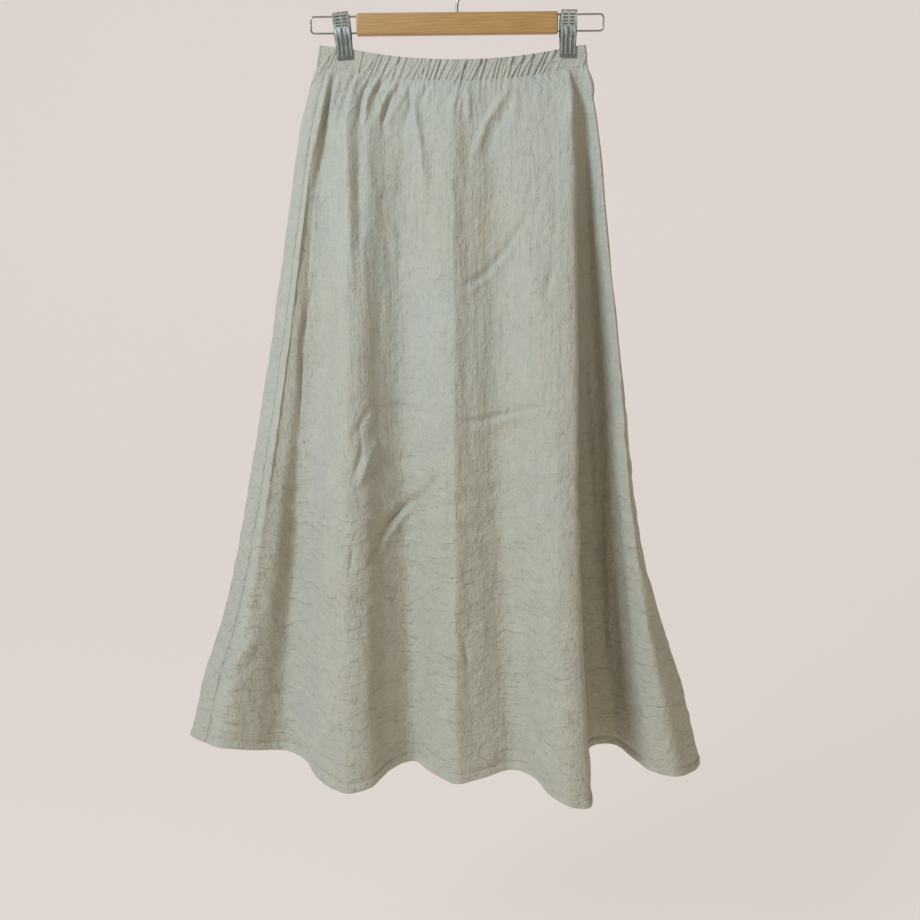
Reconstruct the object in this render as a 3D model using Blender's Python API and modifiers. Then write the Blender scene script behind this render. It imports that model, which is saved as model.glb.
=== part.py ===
"""A linen maxi skirt hanging from a wooden clip hanger.

Metres, +Z up.  The origin is the inner top of the hanger's hook, where a rail carries
it.  +X is to the right for someone who faces the skirt's front, and the front faces -Y.
Everything is one rigid body: the front and back panels, the elastic waistband, and the
hanger with its bar, hook, two wire loops and two spring clips.
"""

import math

import bpy
import numpy as np

# ---- Clearances and walls ----
GAP = 0.0003                # between two pieces that touch on the real object
PANEL_WALL = 0.0015
BAND_WALL = 0.0030          # two layers of linen with the elastic between them

# ---- Hanger ----
BAR_WIDTH = 0.238
BAR_DEPTH = 0.013
BAR_HEIGHT = 0.025
BAR_TOP = -0.058
BAR_EDGE_ROUND = 0.0022
BAR_EDGE_STEPS = 3
WIRE_RADIUS = 0.0011
WIRE_REACH = 0.174          # from the hook's axis to the outside of a loop
WIRE_UPPER = -0.0611
WIRE_LOWER = -0.0799
WIRE_CORNER = 0.0042
WIRE_IN_BAR = 0.014
HOOK_RADIUS = 0.0016        # half of the hook wire's thickness
HOOK_INNER = 0.019
HOOK_IN_BAR = 0.016
HOOK_START_DEG = -62.0
HOOK_END_DEG = 205.0
HOOK_STRAIGHT = 0.006       # the upright part above the bar, before the neck bends
HOOK_NECK_PULL = 0.012      # how softly the neck bends over
HOOK_BOW_STEPS = 30
WIRE_CORNER_STEPS = 5
ROUND_WIRE_STEPS = 2        # sides of a wire, as the curve's bevel resolution
HOLE_SIDES = 16

# ---- Clips: the place of the middle of each, and how far its foot swings inwards ----
CLIPS = (
    ("left", -0.1362, 5.0),
    ("right", 0.1312, -1.0),
)
CLIP_WIDTH = 0.0190
CLIP_PLATE = 0.0013
CLIP_PIVOT = -0.0705
CLIP_SPRING_RADIUS = 0.0036
CLIP_SPRING_WIDTH = 0.0120
CLIP_PROFILE = (            # height, and how far the plate stands from the middle
    (-0.1100, 0.0037),
    (-0.0975, 0.0037),
    (-0.0860, 0.0060),
    (-0.0705, 0.0072),
    (-0.0575, 0.0100),
)

# ---- Waistband ----
CASING = 0.0235             # height of the band
BAND_LOW = -0.1120          # its top edge, midway between the clips
BAND_MIDDLE = 0.004
BAND_HALF_SPAN = 0.128      # from the middle to a clip
BAND_SAG = 0.0138
BAND_END_SLOPE = 0.12       # how the ends rise beyond the clips
BAND_TOP_LEFT = 0.1640
BAND_TOP_RIGHT = 0.1525
BAND_END_ROUND = 0.0034     # half of the flattened band's depth at a clip
BAND_BELLY = 0.0062         # how far each half bows out between the clips
BAND_COLUMNS = 30
BAND_END_COLUMNS = 4
BAND_LEVELS = 3

# ---- Panels ----
HEM_LEVEL = -0.980
PANEL_LEVELS = 16
SWELL_POWER = 0.7           # folds deepen fast below the gathers, then steadily

# The outline seen from the front: reach to the left and right of the hook's axis.
#   down the skirt (0 at the waist, 1 at the hem), left, right
OUTLINE = (
    (0.00, 0.1680, 0.1550),
    (0.08, 0.1885, 0.1665),
    (0.20, 0.2070, 0.1770),
    (0.40, 0.2360, 0.1980),
    (0.60, 0.2690, 0.2185),
    (0.80, 0.3080, 0.2550),
    (0.92, 0.3410, 0.2870),
    (1.00, 0.3580, 0.3090),
)

# The fold lines, once round the skirt from the left side seam.
#   place across at the waist and at the hem, as a part of the outline's reach;
#   drift (1 moves evenly, more moves late);
#   side (-1 front, 0 edge, 1 back) of the flattened waist;
#   depth at the hem; how much the hem hangs above the hem level;
#   columns of faces to the next line
FOLDS = (
    ("left seam",       -0.925, -0.927, 1.0, -1, -0.036,  0.028, 2),
    ("left lobe",       -0.896, -0.862, 1.6, -1, -0.064,  0.034, 2),
    ("left lobe foot",  -0.875, -0.755, 1.6, -1, -0.054,  0.025, 2),
    ("left valley",     -0.850, -0.650, 1.8, -1, -0.032,  0.015, 3),
    ("left rise",       -0.790, -0.569, 1.3, -1, -0.062,  0.017, 2),
    ("first shoulder",  -0.740, -0.499, 1.0, -1, -0.102,  0.006, 3),
    ("first lobe",      -0.660, -0.408, 1.0, -1, -0.122, -0.002, 3),
    ("first flank",     -0.590, -0.324, 1.0, -1, -0.114,  0.001, 2),
    ("first foot",      -0.500, -0.261, 1.0, -1, -0.082,  0.010, 2),
    ("first valley",    -0.380, -0.178, 1.0, -1, -0.060,  0.011, 3),
    ("middle shoulder", -0.230, -0.093, 1.0, -1, -0.090,  0.004, 2),
    ("middle lobe",     -0.035, -0.028, 1.0, -1, -0.104,  0.000, 3),
    ("middle flank",     0.070,  0.076, 1.0, -1, -0.094,  0.003, 2),
    ("second valley",    0.210,  0.190, 1.0, -1, -0.078,  0.006, 3),
    ("great foot",       0.340,  0.273, 1.0, -1, -0.093,  0.003, 2),
    ("great shoulder",   0.480,  0.335, 1.0, -1, -0.116, -0.010, 2),
    ("great lobe",       0.690,  0.417, 1.0, -1, -0.134, -0.017, 3),
    ("great lobe edge",  0.840,  0.489, 1.0, -1, -0.127, -0.021, 2),
    ("great lobe side",  0.862,  0.505, 1.0, -1, -0.058, -0.010, 2),
    ("deep valley foot", 0.895,  0.535, 1.0, -1, -0.008,  0.004, 2),
    ("deep valley",      0.935,  0.645, 1.0, -1,  0.003,  0.002, 3),
    ("right foot",       0.955,  0.717, 1.4, -1, -0.030, -0.004, 2),
    ("right flank",      0.970,  0.772, 1.8, -1, -0.052, -0.010, 2),
    ("right lobe",       0.985,  0.866, 2.5, -1, -0.066, -0.011, 3),
    ("right edge",       1.000,  1.000, 1.0,  0,  0.000, -0.020, 2),
    ("right seam",       0.915,  0.930, 1.0,  1,  0.034, -0.006, 2),
    ("back lobe 1 a",    0.870,  0.850, 1.0,  1,  0.067, -0.002, 2),
    ("back lobe 1 b",    0.820,  0.750, 1.0,  1,  0.079,  0.000, 3),
    ("back valley 1",    0.740,  0.640, 1.0,  1,  0.040,  0.004, 3),
    ("back lobe 2 a",    0.630,  0.535, 1.0,  1,  0.095, -0.004, 2),
    ("back lobe 2 b",    0.500,  0.405, 1.0,  1,  0.101, -0.006, 3),
    ("back valley 2",    0.330,  0.275, 1.0,  1,  0.046,  0.000, 3),
    ("back lobe 3 a",    0.160,  0.105, 1.0,  1,  0.107, -0.006, 2),
    ("back lobe 3 b",   -0.020, -0.055, 1.0,  1,  0.113, -0.008, 3),
    ("back valley 3",   -0.220, -0.195, 1.0,  1,  0.044,  0.002, 3),
    ("back lobe 4 a",   -0.380, -0.340, 1.0,  1,  0.098,  0.000, 2),
    ("back lobe 4 b",   -0.520, -0.465, 1.0,  1,  0.103,  0.002, 3),
    ("back valley 4",   -0.700, -0.625, 1.0,  1,  0.038,  0.010, 3),
    ("back lobe 5 a",   -0.820, -0.750, 1.0,  1,  0.066,  0.018, 2),
    ("back lobe 5 b",   -0.900, -0.875, 1.0,  1,  0.055,  0.022, 3),
    ("left edge",       -1.000, -1.000, 1.0,  0,  0.000,  0.026, 3),
)
SEAMS = ("left seam", "right seam")

FINISHES = {                # colour, roughness, metallic
    "linen": ((0.42, 0.40, 0.33, 1.0), 0.90, 0.0),
    "linen_band": ((0.40, 0.40, 0.34, 1.0), 0.90, 0.0),
    "beech": ((0.46, 0.27, 0.12, 1.0), 0.45, 0.0),
    "steel_wire": ((0.45, 0.43, 0.41, 1.0), 0.30, 1.0),
    "clip_steel": ((0.36, 0.40, 0.39, 1.0), 0.35, 1.0),
    "spring_steel": ((0.20, 0.21, 0.21, 1.0), 0.40, 1.0),
}


# ---------------------------------------------------------------- scene and materials

def empty_scene():
    """Remove the start-up objects and make the two collections."""
    for thing in list(bpy.data.objects):
        bpy.data.objects.remove(thing, do_unlink=True)
    collections = []
    for name in ("maxi_skirt", "cutters"):
        collection = bpy.data.collections.new(name)
        bpy.context.scene.collection.children.link(collection)
        collections.append(collection)
    return collections


def finish(name):
    """The material of that name, made once."""
    known = bpy.data.materials.get(name)
    if known:
        return known
    colour, roughness, metallic = FINISHES[name]
    material = bpy.data.materials.new(name)
    material.use_nodes = True
    shader = material.node_tree.nodes["Principled BSDF"]
    shader.inputs["Base Color"].default_value = colour
    shader.inputs["Roughness"].default_value = roughness
    shader.inputs["Metallic"].default_value = metallic
    return material


def place(name, data, collection, finish_name):
    """Put data in the scene as a named object with its own material."""
    thing = bpy.data.objects.new(name, data)
    collection.objects.link(thing)
    data.materials.append(finish(finish_name))
    return thing


# ---------------------------------------------------------------- lofts of cloth

def loft(name, outer, inner, closed):
    """A wall between two grids of points, indexed by level and column."""
    levels, columns = outer.shape[:2]
    points = np.concatenate([outer.reshape(-1, 3), inner.reshape(-1, 3)])
    inside = levels * columns

    def corner(level, column, layer):
        return layer * inside + level * columns + column % columns

    spans = columns if closed else columns - 1
    faces = []
    for level in range(levels - 1):
        for column in range(spans):
            quad = [(level, column), (level, column + 1), (level + 1, column + 1), (level + 1, column)]
            faces.append([corner(*spot, 0) for spot in quad])
            faces.append([corner(*spot, 1) for spot in reversed(quad)])
    for column in range(spans):
        for level, order in ((0, 1), (levels - 1, -1)):
            rim = [corner(level, column + 1, 0), corner(level, column, 0),
                   corner(level, column, 1), corner(level, column + 1, 1)]
            faces.append(rim[::order])
    if not closed:
        for level in range(levels - 1):
            for column, order in ((0, 1), (columns - 1, -1)):
                rim = [corner(level, column, 0), corner(level + 1, column, 0),
                       corner(level + 1, column, 1), corner(level, column, 1)]
                faces.append(rim[::order])
    mesh = bpy.data.meshes.new(name)
    mesh.from_pydata([tuple(point) for point in points], [], faces)
    mesh.validate()
    mesh.shade_smooth()
    mesh.set_sharp_from_angle(angle=math.radians(40))
    return mesh


def round_curve(points, steps):
    """A smooth closed curve through points, with that many steps to each next point."""
    points = np.asarray(points, dtype=float)
    count = len(points)
    out = []
    for i in range(count):
        p0, p1, p2, p3 = (points[(i + k) % count] for k in (-1, 0, 1, 2))
        knots = [0.0]
        for a, b in ((p0, p1), (p1, p2), (p2, p3)):
            knots.append(knots[-1] + math.sqrt(max(np.linalg.norm((b - a)[:2]), 1e-6)))
        t0, t1, t2, t3 = knots
        for step in range(steps[i]):
            t = t1 + (t2 - t1) * step / steps[i]
            a1 = (t1 - t) / (t1 - t0) * p0 + (t - t0) / (t1 - t0) * p1
            a2 = (t2 - t) / (t2 - t1) * p1 + (t - t1) / (t2 - t1) * p2
            a3 = (t3 - t) / (t3 - t2) * p2 + (t - t2) / (t3 - t2) * p3
            b1 = (t2 - t) / (t2 - t0) * a1 + (t - t0) / (t2 - t0) * a2
            b2 = (t3 - t) / (t3 - t1) * a2 + (t - t1) / (t3 - t1) * a3
            out.append((t2 - t) / (t2 - t1) * b1 + (t - t1) / (t2 - t1) * b2)
    return np.array(out)


def inward(ring):
    """Unit vectors that point into a closed ring of points, level in the ring's plane."""
    along = np.roll(ring, -1, axis=0) - np.roll(ring, 1, axis=0)
    side = np.stack([-along[:, 1], along[:, 0], np.zeros(len(ring))], axis=1)
    return side / np.linalg.norm(side, axis=1)[:, None]


# ---------------------------------------------------------------- waistband

def band_top(x):
    """Height of the band's top edge: it sags between the clips."""
    away = abs(x - BAND_MIDDLE)
    height = BAND_LOW + BAND_SAG * (min(away, BAND_HALF_SPAN) / BAND_HALF_SPAN) ** 2
    return height + BAND_END_SLOPE * max(away - BAND_HALF_SPAN, 0.0)


def band_depth(x):
    """Half of the band's depth: pressed flat at the clips, bowed out between them."""
    away = abs(x - BAND_MIDDLE) / (BAND_HALF_SPAN - CLIP_WIDTH / 2)
    bow = math.cos(min(away, 1.0) * math.pi / 2) ** 2
    return BAND_END_ROUND + BAND_BELLY * bow


def band_ring(left, right):
    """The flattened band from above, from its left end along the front and back again."""
    start = -left + BAND_END_ROUND
    end = right - BAND_END_ROUND
    run = np.linspace(start, end, BAND_COLUMNS + 1)
    turn = np.linspace(-math.pi / 2, math.pi / 2, BAND_END_COLUMNS + 1)[1:-1]
    front = [(x, -band_depth(x), 0.0) for x in run]
    right_end = [(end + BAND_END_ROUND * math.cos(a), BAND_END_ROUND * math.sin(a), 0.0) for a in turn]
    back = [(x, band_depth(x), 0.0) for x in run[::-1]]
    left_end = [(start - BAND_END_ROUND * math.cos(a), -BAND_END_ROUND * math.sin(a), 0.0) for a in turn]
    return np.array(front + right_end + back + left_end)


def waistband(collection):
    outer = []
    inner = []
    for share in np.linspace(0.0, 1.0, BAND_LEVELS):
        left = OUTLINE[0][1] + (BAND_TOP_LEFT - OUTLINE[0][1]) * share
        right = OUTLINE[0][2] + (BAND_TOP_RIGHT - OUTLINE[0][2]) * share
        ring = band_ring(left, right)
        lining = ring + inward(ring) * BAND_WALL
        heights = [band_top(x) - CASING * (1.0 - share) for x in ring[:, 0]]
        ring[:, 2] = heights
        lining[:, 2] = heights
        outer.append(ring)
        inner.append(lining)
    mesh = loft("waistband", np.array(outer), np.array(inner), closed=True)
    place("waistband", mesh, collection, "linen_band")


# ---------------------------------------------------------------- panels

def reach(down, side):
    """How far the outline reaches at that share of the way down, left -1 or right 1."""
    rows = np.array(OUTLINE)
    column = 1 if side < 0 else 2
    slopes = np.gradient(rows[:, column], rows[:, 0])
    i = min(int(np.searchsorted(rows[:, 0], down, side="right")) - 1, len(rows) - 2)
    width = rows[i + 1, 0] - rows[i, 0]
    s = (down - rows[i, 0]) / width
    start, end = rows[i, column], rows[i + 1, column]
    return ((2 * s**3 - 3 * s**2 + 1) * start + (s**3 - 2 * s**2 + s) * width * slopes[i]
            + (3 * s**2 - 2 * s**3) * end + (s**3 - s**2) * width * slopes[i + 1])


def fold_points(down):
    """Where each fold line is at that share of the way down: x, y and the hem's rise."""
    points = []
    for _name, top, hem, drift, side, depth, rise, _columns in FOLDS:
        across = top + (hem - top) * down ** drift
        x = across * reach(down, across)
        waist = side * band_depth(top * reach(0.0, top))
        y = waist * (1.0 - down) + depth * down ** SWELL_POWER
        points.append((x, y, rise))
    return points


def skirt_ring(down):
    """The skirt's outside at that share of the way down, all round."""
    return round_curve(fold_points(down), [row[-1] for row in FOLDS])


def panel_columns():
    """The columns of the front and back panels, seam to seam."""
    names = [row[0] for row in FOLDS]
    counts = [row[-1] for row in FOLDS]
    first, second = (sum(counts[:names.index(seam)]) for seam in SEAMS)
    around = sum(counts)
    front = list(range(first, second + 1))
    back = [column % around for column in range(second, around + first + 1)]
    return front, back


def panels(collection):
    waist = skirt_ring(0.0)
    top = np.array([band_top(x) - CASING - GAP for x in waist[:, 0]])
    bottom = HEM_LEVEL + skirt_ring(1.0)[:, 2]
    outer = []
    inner = []
    for down in np.linspace(0.0, 1.0, PANEL_LEVELS + 1):
        ring = skirt_ring(down)
        lining = ring + inward(ring) * PANEL_WALL
        heights = top + (bottom - top) * down
        ring[:, 2] = heights
        lining[:, 2] = heights
        outer.append(ring)
        inner.append(lining)
    outer = np.array(outer)[::-1]
    inner = np.array(inner)[::-1]
    for name, columns in zip(("skirt_front", "skirt_back"), panel_columns()):
        layers = []
        for layer in (outer[:, columns], inner[:, columns]):
            for edge, neighbour in ((0, 1), (-1, -2)):
                step = outer[:, columns[neighbour]] - outer[:, columns[edge]]
                step = step / np.linalg.norm(step, axis=1)[:, None]
                layer[:, edge] += step * GAP / 2
            layers.append(layer)
        place(name, loft(name, *layers, closed=False), collection, "linen")


# ---------------------------------------------------------------- hanger

def rod(name, points, radius, collection, finish_name):
    """A round wire along points, with flat ends."""
    curve = bpy.data.curves.new(name, "CURVE")
    curve.dimensions = "3D"
    curve.bevel_depth = radius
    curve.bevel_resolution = ROUND_WIRE_STEPS
    curve.use_fill_caps = True
    spline = curve.splines.new("POLY")
    spline.points.add(len(points) - 1)
    for knot, point in zip(spline.points, points):
        knot.co = (*point, 1.0)
    return place(name, curve, collection, finish_name)


def arc(centre, radius, start_deg, end_deg, steps):
    """Points on an arc in the XZ plane."""
    angles = np.radians(np.linspace(start_deg, end_deg, steps + 1))
    return [(centre[0] + radius * math.cos(a), 0.0, centre[1] + radius * math.sin(a)) for a in angles]


def cutter(name, location, rotation, radius, depth, collection):
    """A round hole for a wire."""
    bpy.ops.mesh.primitive_cylinder_add(
        vertices=HOLE_SIDES, radius=radius, depth=depth, location=location, rotation=rotation)
    tool = bpy.context.object
    tool.name = name
    for owner in list(tool.users_collection):
        owner.objects.unlink(tool)
    collection.objects.link(tool)
    tool.hide_render = True
    tool.display_type = "WIRE"
    return tool


def wood_bar(collection, cutters):
    bpy.ops.mesh.primitive_cube_add(size=1.0, location=(0.0, 0.0, BAR_TOP - BAR_HEIGHT / 2))
    bar = bpy.context.object
    bar.name = "wood_bar"
    bar.scale = (BAR_WIDTH, BAR_DEPTH, BAR_HEIGHT)
    bpy.ops.object.transform_apply(location=False, rotation=False, scale=True)
    for owner in list(bar.users_collection):
        owner.objects.unlink(bar)
    collection.objects.link(bar)
    bar.data.materials.append(finish("beech"))
    rounding = bar.modifiers.new("rounded edges", "BEVEL")
    rounding.width = BAR_EDGE_ROUND
    rounding.segments = BAR_EDGE_STEPS
    half = BAR_WIDTH / 2
    holes = [cutter("hook_hole", (0.0, 0.0, BAR_TOP), (0.0, 0.0, 0.0),
                    HOOK_RADIUS + GAP, 2 * (HOOK_IN_BAR + GAP), cutters)]
    for side, end in (("left", -half), ("right", half)):
        for level, height in (("upper", WIRE_UPPER), ("lower", WIRE_LOWER)):
            holes.append(cutter(f"wire_hole_{side}_{level}", (end, 0.0, height), (0.0, math.pi / 2, 0.0),
                                WIRE_RADIUS + GAP, 2 * (WIRE_IN_BAR + GAP), cutters))
    for hole in holes:
        cut = bar.modifiers.new(hole.name, "BOOLEAN")
        cut.operation = "DIFFERENCE"
        cut.object = hole


def hook(collection):
    """A round hook whose wire climbs out of the bar and turns over to the left."""
    radius = HOOK_INNER + HOOK_RADIUS
    centre = (0.0, -HOOK_INNER)
    bow = arc(centre, radius, HOOK_START_DEG, HOOK_END_DEG, HOOK_BOW_STEPS)
    foot = [(0.0, 0.0, BAR_TOP - HOOK_IN_BAR), (0.0, 0.0, BAR_TOP), (0.0, 0.0, BAR_TOP + HOOK_STRAIGHT)]
    neck_top = bow[0]
    leave = math.radians(HOOK_START_DEG + 90.0)
    bends = []
    for s in (0.2, 0.4, 0.6, 0.8):
        start, end = np.array(foot[-1]), np.array(neck_top)
        rise = np.array((0.0, 0.0, 1.0)) * HOOK_NECK_PULL
        lean = np.array((math.cos(leave), 0.0, math.sin(leave))) * HOOK_NECK_PULL
        bends.append(tuple((2 * s**3 - 3 * s**2 + 1) * start + (s**3 - 2 * s**2 + s) * rise
                           + (3 * s**2 - 2 * s**3) * end + (s**3 - s**2) * lean))
    rod("hook", foot + bends + bow, HOOK_RADIUS, collection, "steel_wire")


def wire_loops(collection):
    """A wire on each side that leaves the bar, turns twice and goes back in."""
    inside = BAR_WIDTH / 2 - WIRE_IN_BAR
    outside = WIRE_REACH - WIRE_RADIUS - WIRE_CORNER
    upper = arc((outside, WIRE_UPPER - WIRE_CORNER), WIRE_CORNER, 90, 0, WIRE_CORNER_STEPS)
    lower = arc((outside, WIRE_LOWER + WIRE_CORNER), WIRE_CORNER, 0, -90, WIRE_CORNER_STEPS)
    right = [(inside, 0.0, WIRE_UPPER)] + upper + lower + [(inside, 0.0, WIRE_LOWER)]
    rod("wire_right", right, WIRE_RADIUS, collection, "steel_wire")
    left = [(-x, y, z) for x, y, z in right]
    rod("wire_left", left, WIRE_RADIUS, collection, "steel_wire")


def clip_plate(name, side, collection):
    """One jaw of a clip: a bent plate that grips at its foot and opens at its head."""
    curve = bpy.data.curves.new(name, "CURVE")
    curve.dimensions = "2D"
    curve.fill_mode = "BOTH"
    curve.extrude = CLIP_WIDTH / 2
    outline = [(side * away, height) for height, away in CLIP_PROFILE]
    outline += [(side * (away + CLIP_PLATE), height) for height, away in reversed(CLIP_PROFILE)]
    spline = curve.splines.new("POLY")
    spline.points.add(len(outline) - 1)
    for knot, (y, z) in zip(spline.points, outline):
        knot.co = (y, z - CLIP_PIVOT, 0.0, 1.0)
    spline.use_cyclic_u = True
    return place(name, curve, collection, "clip_steel")


def clips(collection):
    for label, across, swing_deg in CLIPS:
        holder = bpy.data.objects.new(f"clip_{label}", None)
        collection.objects.link(holder)
        holder.location = (across, 0.0, CLIP_PIVOT)
        holder.rotation_euler = (0.0, math.radians(-swing_deg), 0.0)
        for face, side in (("front", -1), ("back", 1)):
            plate = clip_plate(f"clip_{label}_{face}_jaw", side, collection)
            plate.rotation_euler = (math.pi / 2, 0.0, math.pi / 2)
            plate.parent = holder
        half = CLIP_SPRING_WIDTH / 2
        spring = rod(f"clip_{label}_spring", [(-half, 0.0, 0.0), (half, 0.0, 0.0)],
                     CLIP_SPRING_RADIUS, collection, "spring_steel")
        spring.parent = holder


def main():
    collection, cutters = empty_scene()
    panels(collection)
    waistband(collection)
    wood_bar(collection, cutters)
    hook(collection)
    wire_loops(collection)
    clips(collection)
    bpy.context.view_layer.update()


main()
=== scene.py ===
"""A linen maxi skirt that hangs from a wooden clip hanger: its cloth, stitches, wood and metal.

Metres, +Z up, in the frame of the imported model.  The origin is the inner top of the
hanger's hook, +X is to the right for someone who faces the skirt, and the front faces -Y.
Each piece stands on the form of the solid that it replaces.
"""

import functools
import math
import random

import bmesh
import bpy
import numpy as np
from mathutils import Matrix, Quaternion, Vector, noise


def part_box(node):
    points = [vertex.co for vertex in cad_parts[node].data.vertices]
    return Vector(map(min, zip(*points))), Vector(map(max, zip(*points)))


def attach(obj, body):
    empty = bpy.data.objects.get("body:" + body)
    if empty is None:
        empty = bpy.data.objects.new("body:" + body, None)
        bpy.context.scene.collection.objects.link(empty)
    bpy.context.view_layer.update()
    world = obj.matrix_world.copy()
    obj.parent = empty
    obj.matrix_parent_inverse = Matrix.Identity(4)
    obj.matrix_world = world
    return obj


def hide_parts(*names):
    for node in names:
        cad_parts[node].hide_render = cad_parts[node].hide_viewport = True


bl_info = {
    "name": "Maxi Skirt on a Clip Hanger",
    "version": (1, 0, 0),
    "blender": (4, 5, 0),
    "location": "3D View > Sidebar > Maxi Skirt",
    "description": "Makes a gathered linen skirt and the wooden clip hanger that carries it",
    "category": "Mesh",
}

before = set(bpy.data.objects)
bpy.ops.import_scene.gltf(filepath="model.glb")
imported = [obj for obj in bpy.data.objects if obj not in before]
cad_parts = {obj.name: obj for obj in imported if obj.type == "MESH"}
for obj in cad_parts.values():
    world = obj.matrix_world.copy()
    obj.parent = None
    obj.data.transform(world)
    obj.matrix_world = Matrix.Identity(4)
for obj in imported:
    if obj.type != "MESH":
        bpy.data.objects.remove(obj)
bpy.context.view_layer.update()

# ---------------------------------------------------------------- the skirt's own sizes

CASING = 0.0235             # height of the waistband
BAND_WALL = 0.0030
BAND_LOW = -0.1120          # the band's top edge, midway between the clips
BAND_MIDDLE = 0.004
BAND_HALF_SPAN = 0.128      # from the middle to a clip
BAND_SAG = 0.0138
BAND_END_SLOPE = 0.12
BAND_TOP_REACH = (0.1640, 0.1525)
BAND_END_ROUND = 0.0034     # half of the flattened band's depth at a clip
BAND_BELLY = 0.0062         # how far each half bows out between the clips
BAND_GATHER_STEP = 0.0007   # width of a column of faces
BAND_END_COLUMNS = 14
BAND_FACE_LENGTH = 0.31     # about, from end to end of one face

HEM_LEVEL = -0.980
SWELL_POWER = 0.7           # folds deepen fast below the gathers, then steadily
PANEL_FINENESS = 3          # columns of faces for each column of the solid
GATHER_ZONE = 0.088
GATHER_ROW = 0.0024
BODY_ROW = 0.0080
CLOSE_ROW = 0.0036
CLOSE_ROWS = ((0.145, 0.255), (0.375, 0.415), (0.450, 0.585))  # below the casing, where creases cross
PANEL_DROP = 0.855          # from the casing to the hem, at the middle

CASING_BLEND = 0.030        # below the casing, where the panel leaves the band's form
HEM_TURN = 0.0095           # the stitches stand this far above the hem's edge
HEM_ROWS = (0.0130, 0.0110, HEM_TURN, 0.0080, 0.0055, 0.0028, 0.0010, 0.0)
HEM_FOLD = 0.0016           # from the outside of the hem to the middle of its inner layer
HEM_ROLL = ((0.25, 0.0006), (0.75, 0.0006))
HEM_STANDS = 0.0007         # how far the turned hem lifts the outside
HEM_GROOVE = 0.0020
TUCK_ROWS = ((0.0040, 0.0015), (0.0012, 0.0010))
SEAM_DEPTH = 0.0006
SEAM_WIDTH = 0.0022
PRESS_WIDTHS = (0.034, 0.017)  # before and beyond the pressed line
CREASE_SCALE = 2.5          # on the heights in CREASES
CREASE_BREAK = 42.0         # how quickly a crease's height wanders along it
GATHER_SEEDS = {"front": 11, "back": 29}
# Stretches of the band that are gathered: start, end, closest and widest step, height.
GATHER_STRETCHES = (
    (-0.160, -0.146, 0.0055, 0.0080, 0.70),
    (-0.118, 0.106, 0.0040, 0.0086, 1.00),
    (0.108, 0.120, 0.0080, 0.0120, 0.45),
    (0.142, 0.150, 0.0055, 0.0080, 0.55),
)
GATHER_MEAN = 0.20          # taken off, so that gathers do not lift the cloth as a whole
GATHER_GROOVE = 0.60        # depth of the groove beside a gather, as a part of its height
FAN_END = 0.02              # left of here the puckers fan down to the left
BAND_SCALLOP = 0.0003
BAND_FULLNESS = 1.23        # cloth in the band for each length of it
CASING_STITCH_ROW = 1
BAND_LAP = 0.0007           # the casing hangs this far over the panels
THREAD_THICKNESS = 0.00042
STITCH_RINGS = ((0.0, 0.45), (0.18, 0.9), (0.82, 0.9), (1.0, 0.45))

# ---------------------------------------------------------------- the hanger's own sizes

CLIPS = (("left", -0.1362, 5.0), ("right", 0.1312, -1.0))
CLIP_WIDTH = 0.0190
CLIP_PLATE = 0.0013
CLIP_PIVOT = -0.0705
CLIP_PROFILE = (            # height, and how far the plate stands from the middle
    (-0.1100, 0.0037),
    (-0.0975, 0.0037),
    (-0.0860, 0.0060),
    (-0.0705, 0.0072),
    (-0.0575, 0.0100),
)
DIMPLE_COLUMNS = ((-0.0070, -0.0010), (0.0010, 0.0070))
DIMPLE_ROWS = ((-0.0632, -0.0612), (-0.0668, -0.0648), (-0.0704, -0.0684), (-0.0740, -0.0720))
DIMPLE_DEPTH = 0.0010
RIB_COLUMNS = ((-0.0088, -0.0066), (-0.0038, -0.0016), (0.0016, 0.0038), (0.0066, 0.0088))
RIB_ROW = (-0.1070, -0.0765)
RIB_HEIGHT = 0.0011
PRESSED_SLOPE = 0.00030     # width of the slope round a dimple or a rib
FLANGE_DEPTH = 0.0004
PLATE_ROUND = 0.00012
FLANGE_ROW = (-0.0860, -0.0640)
# colour of the painted shade in the clip plates' hollows
HOLLOW_SHADE_COLOUR = (0.045, 0.050, 0.048)
COIL_WIRE = 0.00055
COIL_RADIUS = 0.0030
COIL_WIDTH = 0.0105
COIL_TURNS = 7
COIL_SIDES = 10
COIL_STEPS = 20            # straight pieces in a turn
PIN_RADIUS = 0.0012
HOOK_BOW_START = -62.0
HOOK_BOW_TURN = 267.0
NECK_RADIUS = 0.012
LOOP_CORNER = 0.0042
WIRE_SIDES = 16
NECK_STEPS = 10
BOW_STEPS = 72
CORNER_STEPS = 12
WELD_DISTANCE = 0.00001

# ---------------------------------------------------------------- the studio's own sizes

CAMERA_LENS = 45.39
CAMERA_PLACE = (-0.0021, -1.44, -0.3401)
CAMERA_PITCH = 10.0
CAMERA_ROLL = -0.6
FLOOR_LEVEL = -1.45
BACKDROP_WIDTH = 9.0
BACKDROP_GLOW = 0.80
BACKDROP_FRONT = -3.2
BACKDROP_WALL = 3.6
BACKDROP_CURVE = 1.2
BACKDROP_RISE = 3.5

# Reach of the outline to the left and right of the hook, by the share of the way down.
OUTLINE = (
    (0.00, 0.1680, 0.1550),
    (0.08, 0.1885, 0.1665),
    (0.20, 0.2070, 0.1770),
    (0.40, 0.2360, 0.1980),
    (0.60, 0.2690, 0.2185),
    (0.80, 0.3080, 0.2550),
    (0.92, 0.3410, 0.2870),
    (1.00, 0.3580, 0.3090),
)

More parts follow.
